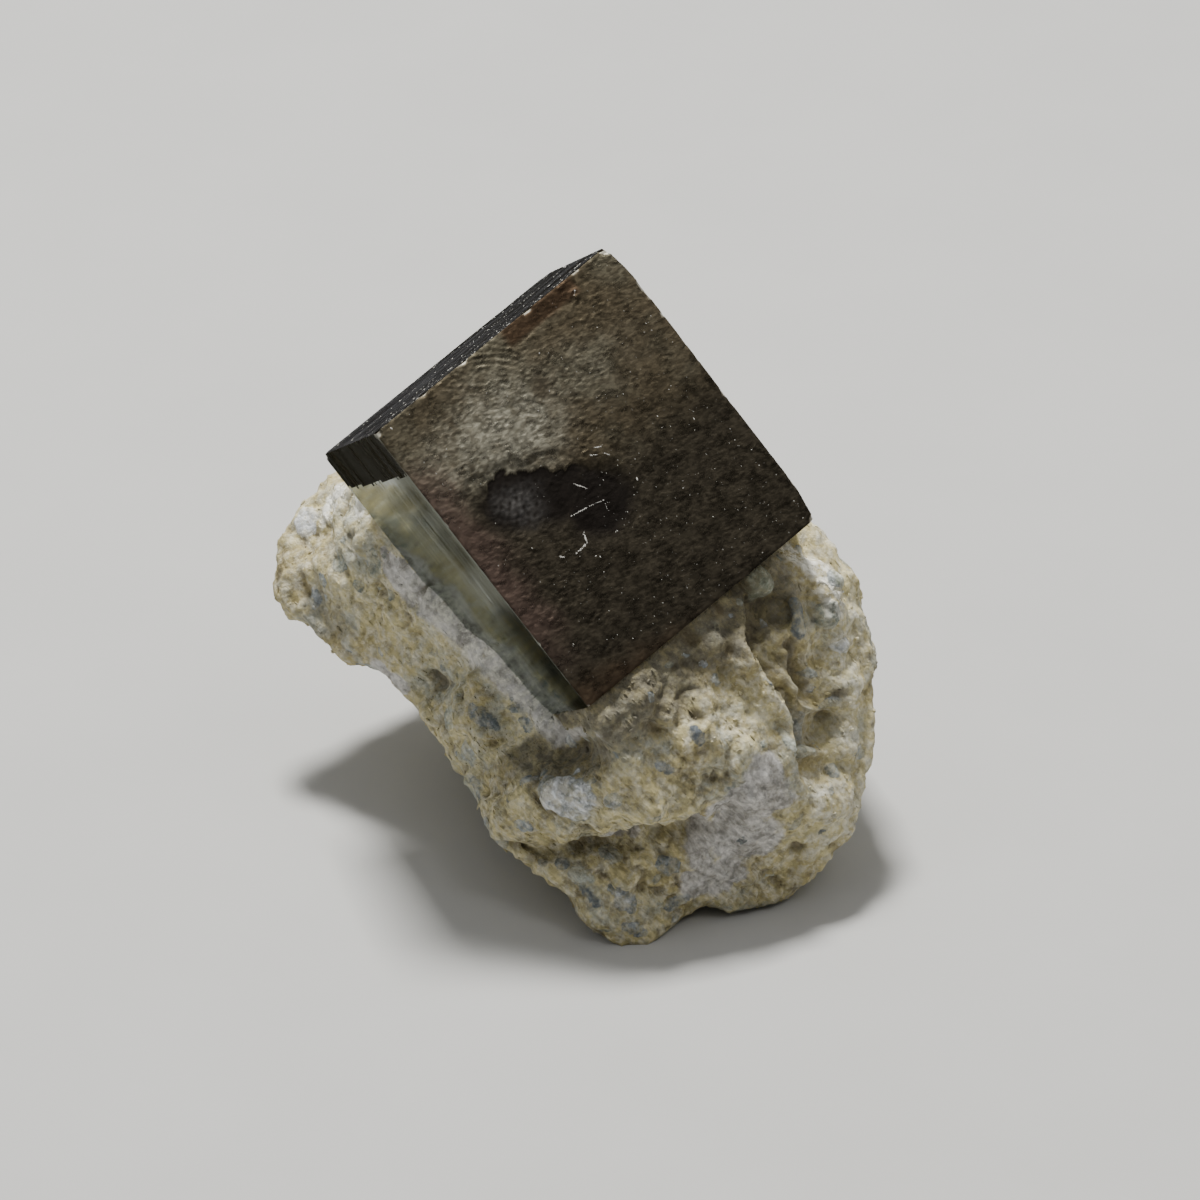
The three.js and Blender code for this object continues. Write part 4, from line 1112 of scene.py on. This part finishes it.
def makeMarlFinish():
    look = marlFinish
    made, tree, shader, where = startMaterial("marlStone")
    fibres = alongFibres(tree, where, 4.5)
    patches = clouds(tree, where, (230, 5, 0.6), 0.36, 0.64)
    colour = blendColours(tree, patches, look["cream"], look["ochre"])
    crumbly = clouds(tree, where, (1300, 4, 0.65), 0.4, 0.66)
    colour = blendColours(tree, times(tree, crumbly, 0.55), colour, look["pale"])
    greyer = clouds(tree, where, (190, 5, 0.62, 0.6), 0.50, 0.66)
    greyer = times(tree, greyer, clouds(tree, where, (1100, 4, 0.7), 0.36, 0.60, 0.25, 1.0))
    colour = blendColours(tree, times(tree, greyer, 0.7), colour, look["slate"])
    # painted shade in the grooves of the relief, with random brown patches mixed in
    hollow = reckon(tree, "ADD", painted(tree, "hollow"),
                    clouds(tree, where, (1700, 3), 0.5, 0.7, -0.2, 0.35))
    colour = blendColours(tree, times(tree, hollow, 0.72, clamp=True), colour, look["brown"])
    mauve = ragged(tree, where, "mauve", (480, 6, 0.7), 2.6, 0.25, 0.85)
    mauveTone = blendColours(tree, clouds(tree, where, (700, 6, 0.7), 0.40, 0.62),
                             look["mauve"], look["mauveDark"])
    colour = blendColours(tree, times(tree, mauve, 0.9), colour, mauveTone)
    mottled = cloudy(tree, where, 1300, 4, 0.7)
    for name, tone, patchy in (
            ("frost", "pale", clouds(tree, where, (1500, 4, 0.7), 0.42, 0.62)),
            ("chalk", "chalk", stretchRange(tree, mottled, 0.34, 0.56)),
            # the earth mark is darker earth and a painted shadow
            ("earthAndShade", "earthAndShade", stretchRange(tree, mottled, 0.34, 0.62, 0.65, 0.95))):
        share = times(tree, painted(tree, name), patchy, clamp=True)
        colour = blendColours(tree, share, colour, look[tone])
    # clasts, from dark blue grey to whitish, some greenish
    tone = painted(tree, "tone")
    green = painted(tree, "green")
    streaky = clouds(tree, where, (1600, 4, 0.7), 0.36, 0.66, -0.22, 0.22)
    tone = reckon(tree, "ADD", tone, streaky)
    blue = blendColours(tree, stretchRange(tree, tone, 0.1, 0.5), look["clastDark"],
                        look["clastMid"])
    blue = blendColours(tree, stretchRange(tree, tone, 0.5, 0.9), blue, look["clastPale"])
    leaf = blendColours(tree, stretchRange(tree, tone, 0.1, 0.75), look["greenDark"],
                        look["greenPale"])
    stone = blendColours(tree, green, blue, leaf)
    clast = ragged(tree, where, "clast", (1500, 4, 0.65), 1.5, 0.30, 0.72)
    worn = clouds(tree, where, (1100, 4, 0.7), 0.40, 0.62, 0.45, 1.0)
    colour = blendColours(tree, times(tree, clast, worn), colour, stone)
    # pits and the sunk side below the lip and ridge painted dark brown, a painted shade in these recesses
    pitShade = times(tree, painted(tree, "pit"), 0.75)
    colour = blendColours(tree, pitShade, colour, look["brown"])
    grains = addNode(tree, "ShaderNodeTexVoronoi", {"Vector": where, "Scale": 3200.0}).outputs
    shade = stretchRange(tree, addNode(tree, "ShaderNodeSeparateColor", {
        "Color": grains["Color"]}).outputs[0], 0.0, 1.0, 0.84, 1.12)
    threads = cloudy(tree, fibres, 2300, 4, 0.6)
    streaks = stretchRange(tree, threads, 0.36, 0.64, -0.26, 0.16)
    shade = reckon(tree, "ADD", shade, times(tree, streaks, painted(tree, "flow")))
    shade = reckon(tree, "ADD", shade, times(tree, painted(tree, "grit"), 0.22))
    shadeColour = addNode(tree, "ShaderNodeCombineColor", {
        "Red": shade, "Green": shade, "Blue": shade}).outputs[0]
    colour = blendColours(tree, 1.0, colour, shadeColour, "MULTIPLY")
    dull = clouds(tree, where, (1500, 3), 0.3, 0.7, 0.78, 0.98)
    dull = reckon(tree, "SUBTRACT", dull, times(tree, clast, 0.25))
    setSockets(tree, shader, {"Base Color": colour, "Roughness": dull, "Specular IOR Level": 0.35})
    rise = reckon(tree, "ADD", cloudy(tree, where, 2600, 5, 0.7),
                  times(tree, grains["Distance"], -0.35))
    torn = times(tree, threads, times(tree, painted(tree, "flow"), 1.3))
    smoother = reckon(tree, "SUBTRACT", 1.0, times(tree, mauve, 0.45))
    rise = times(tree, reckon(tree, "ADD", rise, torn), smoother)
    addBump(tree, shader, rise, 0.85, 0.18)
    return made


grit = {
    "count": 4200,
    "size": (0.07, 0.21),    # mm, half the length of a grain
    "sunk": 0.25,            # of its height
    "seed": 8,
}


def makeGrit(body):
    # loose-looking angular grains and short fibres that stand half out of the marl
    mesh = body.data
    rng = np.random.default_rng(grit["seed"])
    middles = readAll(mesh.polygons, "center", 3) / mm
    corner = readAll(mesh.polygons, "loop_start", kind=np.int32)
    near = readAll(mesh.loops, "vertex_index", kind=np.int32)[corner]
    # the marl's marks at each grain, its painted shade too, so that a grain takes the colour it sits on
    values = {layer: readAll(mesh.attributes[layer].data, "value")[near]
              for layer in ("clast", "tone", "green", "pit", "mauve", "hollow", "frost", "flow",
                            "earthAndShade", "chalk")}
    gap = crystalGap(middles)[1]
    weight = readAll(mesh.polygons, "area") * (gap > 0.3) * (middles[:, 2] > 0.35)
    weight *= 1.0 - 0.75 * np.clip(values["mauve"] + values["clast"], 0, 1)
    chosen = rng.choice(len(middles), size=grit["count"], replace=False, p=weight / weight.sum())
    angle = radians(marl["fibres"]["angle"])
    streak = sightTurn @ Vector((cos(angle), sin(angle), 0))
    low, high = grit["size"]
    places, tints = [], []
    for n in chosen:
        normal = mesh.polygons[int(n)].normal.copy()
        size = low + (high - low) * rng.random() ** 2.6
        lies = rng.random() < values["flow"][n]
        way = streak if lies else Vector(rng.normal(size=3))
        way = way - normal * way.dot(normal)
        if way.length < 0.05:
            way = normal.orthogonal()
        way.normalize()
        stretch = rng.uniform(1.4, 2.4) if lies else rng.uniform(1.0, 1.5)
        thick = size * (0.55 if lies else 0.75)
        axes = Matrix((way * size * stretch, normal.cross(way) * thick * rng.uniform(0.8, 1.1),
                       normal * thick)).transposed()
        middle = Vector(middles[n]) + normal * thick * (0.5 - grit["sunk"])
        places.append((middle, axes, int(n)))
        tints.append(rng.uniform(-1.0, 1.0))
    piece = swarm("marl_grit", places)
    each = len(piece.data.vertices) // len(places)
    for layer, held in values.items():
        keepValues(piece.data, layer, np.repeat(held[chosen], each))
    keepValues(piece.data, "grit", np.repeat(tints, each))
    piece.data.materials.append(mesh.materials[0])
    print("grit on the marl:", len(places), "grains")


def makeMarl():
    mesh = makeMarlMesh()
    mesh.name = "marl_body"
    bm = bmesh.new()
    bm.from_mesh(mesh)
    loose = [v for v in bm.verts if v.co.z > 0.5 * mm]
    for _ in range(marl["smoothing"]):
        smoothen(bm, loose, 0.5)
    bm.normal_update()
    for f in bm.faces:
        f.smooth = True
        f.material_index = 0
    bm.to_mesh(mesh)
    bm.free()
    roughenMarl(mesh)
    mesh.materials.clear()
    mesh.materials.append(makeMarlFinish())
    piece = addObject("marl_body", mesh)
    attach(piece, "root")
    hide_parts("marl_matrix")
    print("marl made:", len(mesh.polygons), "faces")
    makeGrit(piece)


studio = {
    "floorSize": 6.0,                      # m
    "floorColour": (0.46, 0.46, 0.45),
    # grey of the surroundings by height, from the horizon 0 to straight up 1
    "air": [(0.0, 0.20), (0.10, 0.20), (0.22, 0.05), (0.50, 0.06), (0.60, 0.17), (0.74, 0.42),
            (1.0, 0.50)],
    # place in m, size in m, power in W, colour
    "lamps": {
        "windowAbove": ((-0.06, 0.14, 0.60), 0.11, 7.4, (1.0, 0.985, 0.95)),
        "cardFront": ((0.21, -0.24, 0.52), 0.15, 0.30, (1.0, 0.99, 0.96)),
        "softLeft": ((-0.55, -0.20, 0.32), 0.45, 0.55, (0.96, 0.98, 1.0)),
        "softRight": ((0.60, 0.15, 0.25), 0.35, 0.5, (1.0, 0.99, 0.97)),
        "softBehind": ((-0.10, 0.62, 0.30), 0.45, 0.6, (0.98, 0.99, 1.0)),
    },
}


def makeStudio():
    bm = bmesh.new()
    bmesh.ops.create_grid(bm, x_segments=1, y_segments=1, size=studio["floorSize"] / 2)
    mesh = meshFrom(bm, "floor")
    floorPiece = addObject("floor", mesh)
    made, tree, shader, where = startMaterial("floorCard")
    shade = clouds(tree, where, (60, 4), 0.3, 0.7)
    base = studio["floorColour"]
    setSockets(tree, shader, {"Base Color": blendColours(tree, shade, base, darker(base, 0.97)),
                              "Roughness": 0.85})
    mesh.materials.append(made)
    aim = Vector((0.0, 0.0, 0.02))
    for name, (place, size, power, colour) in studio["lamps"].items():
        lamp = bpy.data.lights.new(name, "AREA")
        lamp.shape = "SQUARE"
        lamp.size = size
        lamp.energy = power
        lamp.color = colour
        holder = addObject(name, lamp)
        holder.location = place
        holder.rotation_euler = (Vector(place) - aim).to_track_quat("Z", "Y").to_euler()
    world = bpy.data.worlds.new("softAir")
    world.use_nodes = True
    tree = world.node_tree
    way = addNode(tree, "ShaderNodeTexCoord").outputs["Generated"]
    up = addNode(tree, "ShaderNodeSeparateXYZ", {"Vector": way}).outputs["Z"]
    ramp = addNode(tree, "ShaderNodeValToRGB", {"Fac": up})
    stops = ramp.color_ramp.elements
    for spot, (height, grey) in enumerate(studio["air"]):
        stop = stops[spot] if spot < 2 else stops.new(height)
        stop.position = height
        stop.color = (grey, grey, grey, 1.0)
    tree.links.new(ramp.outputs["Color"], tree.nodes["Background"].inputs["Color"])
    bpy.context.scene.world = world
    print("studio made")


makeCamera()
makeCrystal()
makeDust()
makeMarl()
makeStudio()
